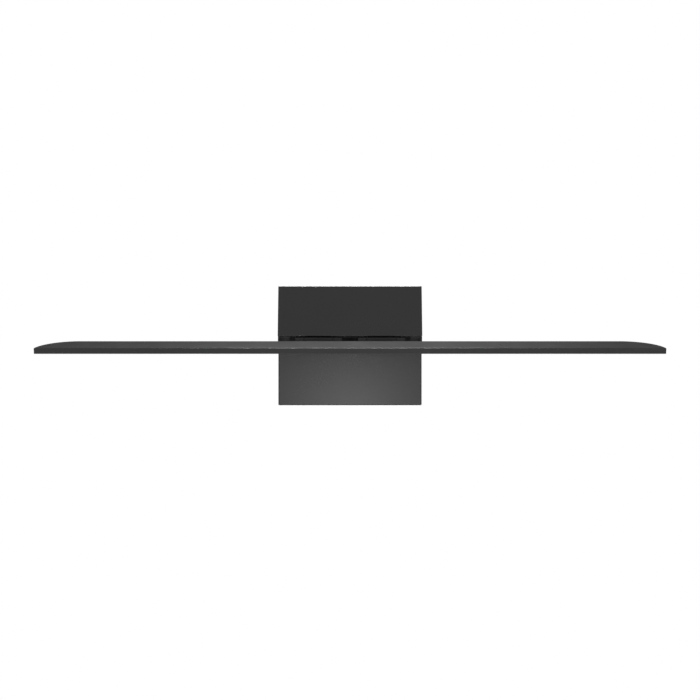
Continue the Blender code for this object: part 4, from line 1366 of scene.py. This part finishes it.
    def _washer(self, x: float) -> Workpiece:
        """Cuts one thrust washer, squared up in front like the knuckles beside it."""
        half = self.washer_room / 2 - 0.0002
        washer = self._barrel((x - half, x + half), self.radius - 0.0007, 0.00008)
        front, top = self.block
        washer.fuse(
            Workpiece.box(
                (x - half + 0.00002, x + half - 0.00002), (0, front - 0.0003),
                (self.chin, top - 0.0003),
            )
        )
        washer.cut(self._barrel((x - 0.003, x + 0.003), self.pin_radius + 0.0001, 0.00001))
        return self._on_axis(washer)

    def _arm(self) -> Workpiece:
        """Machines the arm: bored knuckle, tongue, and a rounded foot with screw holes."""
        low, high = self.moving
        heights = (self.arm_low, self.arm_high)
        arm = Workpiece.box((low + 0.0002, high - 0.0002), (0, 0.030), heights)
        foot = Workpiece.box(
            span(self.sign, self.inner + 0.0016, self.outer - 0.0016),
            (self.foot_back, self.foot_front), heights,
        )
        foot.round_edges(lambda a, b, turn: abs(a.z - b.z) > 0.001, 0.0022, 5)
        foot.round_edges(
            lambda a, b, turn: turn > 0.5 and max(a.z, b.z) < self.arm_low + 1e-5, 0.0003, 2
        )
        arm.fuse(foot, self._squared((low, high), -REST_TILT))
        arm.cut(self._barrel((low - 0.005, high + 0.005), 0.0041))
        for _, x in self.screw_places():
            hole = Fasteners.ARM.hole(0.00015)
            arm.cut(hole.stand(at(x, self.screw_forward, self.arm_low), DOWN))
        return arm.tilt()


# The bar


@dataclass
class LightBar:
    """The blade and the light in its underside, modelled level in the hinge's frame.

    Args:
        fasteners: the tray that screws come from.
        front: how far forward the blade's front edge is.
        rear: how far forward its rear edge is.
        top: height of its top face.
        thickness: its thickness.
        corner: radius of its rear corners.
        skirt: width of the rim round the pocket.
        pocket_rear: how far behind the front edge the pocket ends.
        pocket_depth: how deep the pocket is.
        screw_pitch: distance between the cover screws.
        screw_setback: how far behind the front edge they are.
        board_ends: the room between an LED board's end and the next screw.
        chips: how many LEDs a board has.
    """

    fasteners: Fasteners
    front: float = 0.0574
    rear: float = 0.0239
    top: float = 0.00754
    thickness: float = 0.0058
    corner: float = 0.0385
    skirt: float = 0.002
    pocket_rear: float = 0.0215
    pocket_depth: float = 0.0043
    screw_pitch: float = 0.1465
    screw_setback: float = 0.0134
    board_ends: float = 0.005
    chips: int = 18

    def __post_init__(self) -> None:
        """Works out the blade's length and the centre of its corners from the frame."""
        half_length = node_span("bar_shell", 0)[1]
        self.floor = self.top - self.thickness
        self.centre_forward = self.rear + self.corner
        offset = self.centre_forward - self.front
        self.centre_x = half_length - math.sqrt(self.corner**2 - offset**2)

    def build(self) -> None:
        """Builds and fits the pieces of the bar."""
        fit(self._shell().tilt(), "bar_shell", COATED_ALUMINIUM, Body.BAR)
        for number, x in self._screw_places():
            place = at(x, self.front - self.screw_setback, self.top)
            screw = self.fasteners.screw(Fasteners.COVER, place, UP)
            fit(screw.tilt(), f"cover_screw_{number}", BLACK_STEEL, Body.BAR)
        fit(self._tray().tilt(), "led_tray", BARE_ALUMINIUM, Body.BAR)
        for number in range(1, 5):
            fit(self._board(number).tilt(), f"led_board_{number}", CIRCUIT_BOARD, Body.BAR)
        fit(self._diffuser().tilt(), "diffuser", OPAL_ACRYLIC, Body.BAR)
        fit(self._lead_cover().tilt(), "lead_cover", BARE_ALUMINIUM, Body.BAR)

    def _screw_places(self) -> list[tuple[int, float]]:
        """Gives the number and x of each cover screw."""
        return [(place + 3, place * self.screw_pitch) for place in range(-2, 3)]

    def _blade(self, inset: float, heights: Span, setbacks: Span) -> Workpiece:
        """Makes the bar's plan shape: a block whose ends are spun into quarter rounds.

        Args:
            inset: how far inside the blade's outline it stays.
            heights: its lowest and highest height.
            setbacks: the distances behind the blade's front where it is cut off.

        Returns:
            The closed solid.
        """
        reach = self.corner - inset
        blade = Workpiece.box(
            (-self.centre_x, self.centre_x), (self.centre_forward - reach, self.centre_forward),
            heights,
        )
        for sign in (-1, 1):
            centre = at(sign * self.centre_x, self.centre_forward, 0)
            blade.spin_faces(
                lambda middle, normal: normal.x * sign > 0.99,
                centre, sign * math.pi / 2, 40,
            )
        blade.slice(at(0, self.front - setbacks[0], 0), TO_ROOM)
        if setbacks[1] < self.front - (self.centre_forward - reach):
            blade.slice(at(0, self.front - setbacks[1], 0), TO_WALL)
        return blade.weld_seams()

    def _shell(self) -> Workpiece:
        """Mills the blade: soft rims, the light's pocket, the lead's groove and the holes."""
        shell = self._blade(0, (self.floor, self.top), (0, 1))
        shell.round_edges(
            lambda a, b, turn: turn > 1.0 and abs(a.z - b.z) < 1e-6, 0.00045, 3
        )
        shell.cut(
            self._blade(
                self.skirt, (self.floor - 0.004, self.floor + self.pocket_depth),
                (self.skirt, self.pocket_rear),
            )
        )
        half, groove = Wiring.lead_radius + GAP, 0.0039
        forwards = (self.rear - 0.004, self.front - self.pocket_rear + 0.001)
        heights = (self.floor - 0.004, self.floor + groove)
        shell.cut(Workpiece.box((-half, half), forwards, heights))
        for _, x in self._screw_places():
            hole = Fasteners.COVER.hole(0.0001)
            shell.cut(hole.stand(at(x, self.front - self.screw_setback, self.top), UP))
        for side in SIDES:
            hinge = Hinge(self.fasteners, side)
            for _, x in hinge.screw_places():
                ends = [at(x, hinge.screw_forward, self.floor + rise) for rise in (-0.002, 0.0042)]
                shell.cut(Workpiece.rod(*ends, 0.0016, 24))
        return shell

    def _tray(self) -> Workpiece:
        """Stamps the heat-spreading tray with a drilled boss for each cover screw."""
        room = self.skirt + GAP
        setbacks = (room, self.pocket_rear - GAP)
        tray = self._blade(room, (self.floor + 0.0032, self.floor + 0.0041), setbacks)
        forward = self.front - self.screw_setback
        boss, pilot = 0.0026, 0.00105
        for _, x in self._screw_places():
            ends = [at(x, forward, self.floor + rise) for rise in (0.0017, 0.0036)]
            tray.fuse(Workpiece.rod(*ends, boss, 28))
            ends = [at(x, forward, self.floor + rise) for rise in (0.0010, 0.0060)]
            tray.cut(Workpiece.rod(*ends, pilot, 20))
        return tray

    def _board(self, number: int) -> Workpiece:
        """Makes one LED board with its row of chips."""
        start = (number - 3) * self.screw_pitch + self.board_ends
        long = self.screw_pitch - 2 * self.board_ends
        centre, half = self.front - 0.012, 0.006
        heights = (self.floor + 0.0022, self.floor + 0.0030)
        board = Workpiece.box((start, start + long), (centre - half, centre + half), heights)
        board.round_edges(lambda a, b, turn: abs(a.z - b.z) > 5e-4, 0.001, 3)
        board.dress(CIRCUIT_BOARD.material())
        pitch = long / self.chips
        chip, lens = self._chip(start + pitch / 2, centre, heights[0])
        pieces = [chip, lens]
        for place in range(1, self.chips):
            pieces += [piece.copy(Vector((place * pitch, 0, 0))) for piece in (chip, lens)]
        return board.carry(*pieces)

    def _chip(self, x: float, forward: float, underside: float) -> tuple[Workpiece, Workpiece]:
        """Makes one LED: its white case with a pressed window, and the phosphor in it."""
        wide, deep, tall = 0.00175, 0.0014, 0.0006
        case = Workpiece.box(
            (x - wide, x + wide), (forward - deep, forward + deep),
            (underside - tall, underside - 0.00002),
        )
        case.press(lambda middle, normal: normal.z < -0.9, 0.0004, Vector((0, 0, 0.0002)))
        case.dress(DRIVER_PLASTIC.material())
        wide, deep = 0.0013, 0.00095
        lens = Workpiece.box(
            (x - wide, x + wide), (forward - deep, forward + deep),
            (underside - 0.00055, underside - 0.00042),
        )
        lens.round_edges(lambda a, b, turn: abs(a.z - b.z) > 5e-5, 0.0003, 2)
        return case, lens.dress(PHOSPHOR.material())

    def _diffuser(self) -> Workpiece:
        """Cuts the opal sheet that closes the pocket."""
        room = self.skirt + GAP
        heights = (self.floor + 0.0001, self.floor + 0.0014)
        sheet = self._blade(room, heights, (room, self.pocket_rear - GAP))
        return sheet.round_edges(
            lambda a, b, turn: turn > 0.8 and abs(a.z - b.z) < 1e-6, 0.0002, 2
        )

    def _lead_cover(self) -> Workpiece:
        """Makes the small plate that keeps the lead in its groove."""
        half, forwards = 0.0062, (0.0262, 0.0334)
        plate = Workpiece.box((-half, half), forwards, (self.floor - 0.0013, self.floor - GAP))
        plate.round_edges(lambda a, b, turn: abs(a.z - b.z) > 5e-4, 0.0012, 5)
        return plate.round_edges(
            lambda a, b, turn: turn > 0.5 and max(a.z, b.z) < self.floor - 0.0012, 0.00025, 2
        )


# Driver and wiring


@dataclass
class Driver:
    """The LED driver behind the chassis: case, lid, populated board and screws.

    Args:
        fasteners: the tray that screws come from.
        half: half of the case's width.
        heights: its lowest and highest height.
        back: how far from the wall the lid is.
        front: how far forward the case reaches.
        wall: thickness of the case and of the lid.
        ear: thickness of the ears that the screws go through.
        screw: x and height of each screw.
        ribs: the x of each rib on the lid.
        rib: half the width of a rib.
        board: thickness of the board.
    """

    fasteners: Fasteners
    half: float = 0.048
    heights: Span = (0.0215, 0.0535)
    back: float = 0.0028
    front: float = 0.0149
    wall: float = 0.0012
    ear: float = 0.002
    screw: Span = (0.0525, 0.030)
    ribs: tuple[float, ...] = (-0.024, 0.0, 0.024)
    rib: float = 0.0006
    board: float = 0.0016

    def build(self) -> None:
        """Builds and fits the driver's pieces."""
        fit(self._case(), "driver_case", DRIVER_PLASTIC, Body.CANOPY)
        fit(self._lid(), "driver_lid", DRIVER_PLASTIC, Body.CANOPY)
        fit(self._board(), "driver_board", CIRCUIT_BOARD, Body.CANOPY)
        for side, sign in SIDES.items():
            place = at(sign * self.screw[0], self.front - self.ear - GAP, self.screw[1])
            screw = self.fasteners.screw(Fasteners.DRIVER, place, TO_WALL)
            fit(screw, f"driver_screw_{side}", ZINC_STEEL, Body.CANOPY)

    def _case(self) -> Workpiece:
        """Moulds the case: rounded box, fixing ears, and the holes for its leads."""
        low, high = self.heights
        rear = self.back + self.wall + GAP
        case = Workpiece.box((-self.half, self.half), (rear, self.front), (low, high))
        case.round_edges(lambda a, b, turn: abs(a.y - b.y) > 0.001, 0.002, 5)
        case.round_edges(
            lambda a, b, turn: turn > 0.5 and min(-a.y, -b.y) > self.front - 1e-5, 0.0006, 3
        )
        lap, reach = 0.002, 0.009
        for sign in SIDES.values():
            x, height = sign * self.screw[0], self.screw[1]
            ear = Workpiece.box(
                span(sign, self.half - lap, self.half + reach),
                (self.front - self.ear, self.front), (height - 0.005, height + 0.005),
            )
            ear.round_edges(
                lambda a, b, turn: abs(a.y - b.y) > 0.001 and a.x * sign > self.half, 0.0035, 6
            )
            case.fuse(ear)
            case.cut(Workpiece.rod(at(x, 0.005, height), at(x, 0.02, height), 0.0018, 28))
        inner = self.half - self.wall
        case.cut(
            Workpiece.box(
                (-inner, inner), (0, self.front - self.wall), (low + self.wall, high - self.wall)
            )
        )
        outlet = Wiring.output[0]
        case.cut(Workpiece.rod(outlet + UP * 0.004, outlet + DOWN * 0.004, 0.0019, 28))
        for start in (Wiring.live[0], Wiring.neutral[0]):
            reach = Vector((0.004, 0, 0))
            case.cut(Workpiece.rod(start - reach, start + reach, 0.0014, 24))
        return case

    def _lid(self) -> Workpiece:
        """Moulds the snap-on lid, with a sunken panel and three ribs across it."""
        outer = self.back + self.wall
        lid = Workpiece.box((-self.half, self.half), (self.back, outer), self.heights)
        lid.round_edges(lambda a, b, turn: abs(a.y - b.y) > 0.001, 0.002, 5)
        lid.round_edges(
            lambda a, b, turn: turn > 0.5 and max(-a.y, -b.y) < self.back + 1e-5, 0.0004, 3
        )
        lid.press(lambda middle, normal: normal.y > 0.99, 0.0014, at(0, 0.0004, 0))
        low, high = self.heights
        ends, proud = 0.0035, (self.back + 0.0001, self.back + 0.0007)
        for x in self.ribs:
            rib = Workpiece.box((x - self.rib, x + self.rib), proud, (low + ends, high - ends))
            lid.fuse(rib.soften(0.00015, 1))
        return lid

    def _board(self) -> Workpiece:
        """Makes the board and what is soldered to it."""
        inset = self.wall + 0.002
        low, high = self.heights
        front = self.front - self.wall - 0.003
        rear, middle = front - self.board, (low + high) / 2
        board = Workpiece.box(
            (inset - self.half, self.half - inset), (rear, front), (low + inset, high - inset)
        )
        board.round_edges(lambda a, b, turn: abs(a.y - b.y) > 0.001, 0.0008, 2)
        board.dress(CIRCUIT_BOARD.material())
        parts = [*self._transformer(rear, middle)]
        for x, rise in ((0.018, 0.005), (0.018, -0.005), (0.033, 0.0), (-0.034, 0.006)):
            parts.append(self._can(x, rear, middle + rise))
        for x in (-0.020, -0.026, 0.041):
            parts.append(self._chip(x, rear, middle))
        return board.carry(*parts)

    def _transformer(self, rear: float, middle: float) -> tuple[Workpiece, Workpiece]:
        """Makes the transformer's core, hollowed for its copper winding, and the winding."""
        core = Workpiece.box(
            (-0.009, 0.009), (rear - 0.0050, rear - 0.0001), (middle - 0.008, middle + 0.008)
        )
        core.soften(0.0005, 2).dress(BLACK_RESIN.material())
        ends = [at(0, rear - 0.0028, middle + reach) for reach in (-0.0105, 0.0105)]
        winding = Workpiece.rod(*ends, 0.0026, 32)
        core.cut(winding.copy())
        return core, winding.dress(COPPER_WIRE.material())

    def _can(self, x: float, rear: float, height: float) -> Workpiece:
        """Makes a capacitor that lies along X on the board's rear face."""
        radius, long = 0.0028, 0.0092
        profile = (
            (0, radius - 0.0003), (0.0003, radius), (long - 0.0004, radius),
            (long, radius - 0.0004),
        )
        place = at(x - long / 2, rear - radius - 0.0001, height)
        can = Workpiece.turned(profile, 32).stand(place, Vector((1, 0, 0)))
        return can.dress(BLACK_RESIN.material())

    def _chip(self, x: float, rear: float, middle: float) -> Workpiece:
        """Makes a power part that stands on the board's rear face."""
        wide, tall = 0.0018, 0.003
        chip = Workpiece.box(
            (x - wide, x + wide), (rear - 0.0016, rear - 0.0001), (middle - tall, middle + tall)
        )
        return chip.soften(0.0002, 1).dress(BLACK_RESIN.material())


class Wiring:
    """The leads inside the canopy and on the bar, with their connectors."""

    lead_radius = 0.0016
    core_radius = 0.0011
    output = [
        at(0, 0.0072, 0.0210), at(0, 0.0072, 0.0160), at(0, 0.0073, 0.0105),
        at(0, 0.0086, 0.0057), at(0, 0.0112, 0.0030), at(0, 0.0140, AXIS.z),
        at(0, 0.0175, AXIS.z), at(0, 0.0215, AXIS.z), at(0, 0.0254, AXIS.z),
    ]
    on_bar = [
        at(0, 0.0026, 0), at(0, 0.0080, -0.0001), at(0, 0.0130, 0.0007), at(0, 0.0185, 0.0027),
        at(0, 0.0240, 0.0036), at(0, 0.0300, 0.0037), at(0, 0.0352, 0.0037),
    ]
    live = [
        at(-0.0483, 0.0068, 0.0410), at(-0.0530, 0.0066, 0.0395), at(-0.0575, 0.0062, 0.0330),
        at(-0.0588, 0.0062, 0.0200), at(-0.0588, 0.0066, 0.0020), at(-0.0580, 0.0074, -0.0110),
        at(-0.0555, 0.0078, -0.0180), at(-0.0505, 0.0078, -0.0205), at(-0.0460, 0.0078, -0.0205),
    ]
    neutral = [
        at(-0.0483, 0.0068, 0.0490), at(-0.0545, 0.0068, 0.0485), at(-0.0610, 0.0070, 0.0430),
        at(-0.0632, 0.0074, 0.0300), at(-0.0640, 0.0078, 0.0100), at(-0.0642, 0.0078, -0.0110),
        at(-0.0640, 0.0074, -0.0260), at(-0.0605, 0.0074, -0.0355), at(-0.0530, 0.0078, -0.0385),
        at(-0.0460, 0.0078, -0.0385),
    ]
    ground = [
        at(0.0285, 0.0125, -0.0265), at(0.0330, 0.0122, -0.0275), at(0.0385, 0.0110, -0.0310),
        at(0.0405, 0.0095, -0.0360), at(0.0380, 0.0084, -0.0405), at(0.0330, 0.0078, -0.0420),
        at(0.0280, 0.0078, -0.0420),
    ]
    ground_screw = at(0.024, 0.0149, -0.026)

    def __init__(self, fasteners: Fasteners) -> None:
        """Takes the tray that the ground screw comes from."""
        self.fasteners = fasteners

    def build(self) -> None:
        """Builds and fits the leads, their connectors and the ground screw."""
        self._lead()
        for name, route, finish, cap in (
            ("live", self.live, CORE_BLACK, NUT_ORANGE),
            ("neutral", self.neutral, CORE_WHITE, NUT_ORANGE),
            ("ground", self.ground, CORE_GREEN, NUT_GREEN),
        ):
            core = Workpiece.wire(route, self.core_radius)
            fit(core, f"lead_{name}", finish, Body.CANOPY)
            along = (route[-1] - route[-2]).normalized()
            nut = self._wire_nut().stand(route[-1] - along * 0.0045, along)
            fit(nut, f"wire_nut_{name}", cap, Body.CANOPY)
        screw = self.fasteners.screw(Fasteners.GROUND, self.ground_screw, TO_WALL)
        fit(screw, "ground_screw", GROUND_GREEN, Body.CANOPY)

    def _lead(self) -> None:
        """Makes the lead to the bar whole, in one piece across the hinge, on neither body."""
        tilt = Matrix.Translation(AXIS) @ Matrix.Rotation(REST_TILT, 4, "X")
        route = self.output + [tilt @ point for point in self.on_bar]
        lead = Workpiece.wire(route, self.lead_radius, 6).dress(LEAD_SHEATH.material()).smooth()
        lead.body.name = lead.body.data.name = "finished_output_lead"
        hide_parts("output_lead", "bar_lead")
        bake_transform(lead.body)
        LOG.info("%s bends across the hinge", lead.body.name)

    def _wire_nut(self) -> Workpiece:
        """Moulds a ribbed twist-on connector with an open mouth at height 0."""
        sides, start, end = 48, 0.0060, 0.0172
        flat = 360 / sides
        profile = (
            (0, 0.0044), (0.0004, 0.0047), (0.0012, 0.0047), (0.0050, 0.0042),
            (start, 0.0038), (end, 0.0027), (0.0184, 0.0022), (0.0190, 0.0014),
        )
        nut = Workpiece.turned(profile, sides)
        with nut.editing():
            nut.pick_faces(
                lambda middle, normal: start + 1e-4 < middle.z < end - 1e-4
                and abs(normal.z) < 0.5
                and int(round(math.degrees(math.atan2(middle.y, middle.x)) / flat)) % 4 < 2
            )
            bpy.ops.mesh.inset(thickness=0.00004, depth=0.00035, use_outset=False)
        nut.cut(Workpiece.turned(((-0.001, 0.0036), (0.0020, 0.0032), (0.008, 0.0026)), 32))
        return nut


class Leftovers:
    """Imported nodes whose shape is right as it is: they only get their finish."""

    FINISHES = {"friction_bush_left": ACETAL, "friction_bush_right": ACETAL}

    @classmethod
    def dress(cls) -> None:
        """Gives each of these nodes its finish."""
        for node, finish in cls.FINISHES.items():
            body = frame["nodes"][node]
            body.data.materials.clear()
            body.data.materials.append(finish.material())
            LOG.info("%s keeps its shape", node)


# Studio


FLOOR = Finish(
    "studio_floor", (0.86, 0.86, 0.85), (0.90, 0.90, 0.89), (0.7, 0.8), Grain.MOULD,
    {"Etch": 400.0, "Flow": 3.0}, 0.0001,
    constants={"Emission Color": (1, 1, 1, 1), "Emission Strength": 0.2},
)


@dataclass
class Studio:
    """Plain white surroundings, soft lights, a pale floor and the camera.

    Args:
        camera_place: where the camera stands.
        lens: its focal length, in millimetres.
        floor_height: height of the floor.
        room_light: strength of the light from the room's side.
        wall_light: strength of the light from the wall's side.
        key_power: power of the small light in front.
        top_power: power of the light overhead.
        back_power: power of the light low behind the wall.
    """

    camera_place: Vector = field(default_factory=lambda: at(0, 1.30935, -0.00425))
    lens: float = 65.3
    floor_height: float = -0.6
    room_light: float = 0.65
    wall_light: float = 0.08
    key_power: float = 0.66
    top_power: float = 12.6
    back_power: float = 5.0

    def build(self) -> None:
        """Sets up the camera, the light and the floor."""
        self._camera()
        self._world()
        self._lights()
        self._floor()

    def _camera(self) -> None:
        """Places a level camera straight in front of the bar."""
        data = bpy.data.cameras.new("camera")
        data.lens = self.lens
        camera = bpy.data.objects.new("camera", data)
        camera.location = self.camera_place
        camera.rotation_euler = (math.radians(90), 0, 0)
        bpy.context.scene.collection.objects.link(camera)
        bpy.context.scene.camera = camera
        bpy.context.scene.view_settings.view_transform = "Standard"

    def _world(self) -> None:
        """Lights the piece softly, mostly from the room, and keeps the background white."""
        world = bpy.data.worlds.new("studio")
        bpy.context.scene.world = world
        world.use_nodes = True
        sheet = Sheet(world.node_tree)
        direction = sheet.add("ShaderNodeTexCoord").outputs["Generated"]
        depth = sheet.add("ShaderNodeSeparateXYZ", {0: direction}).outputs["Y"]
        strength = sheet.ranged(depth, -0.3, 0.3, (self.room_light, self.wall_light))
        seen = sheet.add("ShaderNodeLightPath").outputs["Is Camera Ray"]
        background = world.node_tree.nodes["Background"]
        level = sheet.add("ShaderNodeMix", {0: seen, 3: 1.0}, data_type="FLOAT")
        sheet.tree.links.new(strength, level.inputs[2])
        sheet.tree.links.new(level.outputs[0], background.inputs["Strength"])
        background.inputs["Color"].default_value = (1, 1, 1, 1)

    def _area(self, name: str, place: Vector, aim: Vector, size: Span, power: float) -> None:
        """Hangs a soft rectangular light that points at a place."""
        data = bpy.data.lights.new(name, "AREA")
        data.shape = "RECTANGLE"
        data.size, data.size_y = size
        data.energy = power
        light = bpy.data.objects.new(name, data)
        light.location = place
        light.rotation_mode = "QUATERNION"
        light.rotation_quaternion = (aim - place).to_track_quat("-Z", "Y")
        light.visible_camera = False
        bpy.context.scene.collection.objects.link(light)

    def _lights(self) -> None:
        """Hangs a light overhead, a small one in front and a soft one low behind the wall."""
        self._area("key", at(0, 1.35, -0.14), at(0, 0, -0.05), (0.1, 0.04), self.key_power)
        self._area("top", at(0, -0.25, 0.75), at(0, 0.07, 0), (0.4, 0.15), self.top_power)
        self._area("back", at(0, -1.0, -0.35), at(0, 0, 0), (0.8, 0.4), self.back_power)

    def _floor(self) -> None:
        """Lays the pale floor, out of the front view's sight."""
        bpy.ops.mesh.primitive_circle_add(
            vertices=96, radius=0.8, fill_type="NGON", location=(0, 0, self.floor_height)
        )
        floor = Workpiece(bpy.context.object).settle()
        floor.body.name = "studio_floor"
        floor.dress(FLOOR.material())


def main() -> None:
    """Builds the light from the wall outwards, then the studio round it."""
    logging.basicConfig(level=logging.INFO, format="%(name)s: %(message)s")
    bpy.ops.object.select_all(action="DESELECT")
    for startup in [body for body in bpy.data.objects if body.name in ("Cube", "Light", "Camera")]:
        bpy.data.objects.remove(startup)
    fasteners = Fasteners()
    Canopy(fasteners).build()
    for side in SIDES:
        Hinge(fasteners, side).build()
    LightBar(fasteners).build()
    Driver(fasteners).build()
    Wiring(fasteners).build()
    Leftovers.dress()
    fasteners.clear_tray()
    Studio().build()


if __name__ == "__main__":
    main()
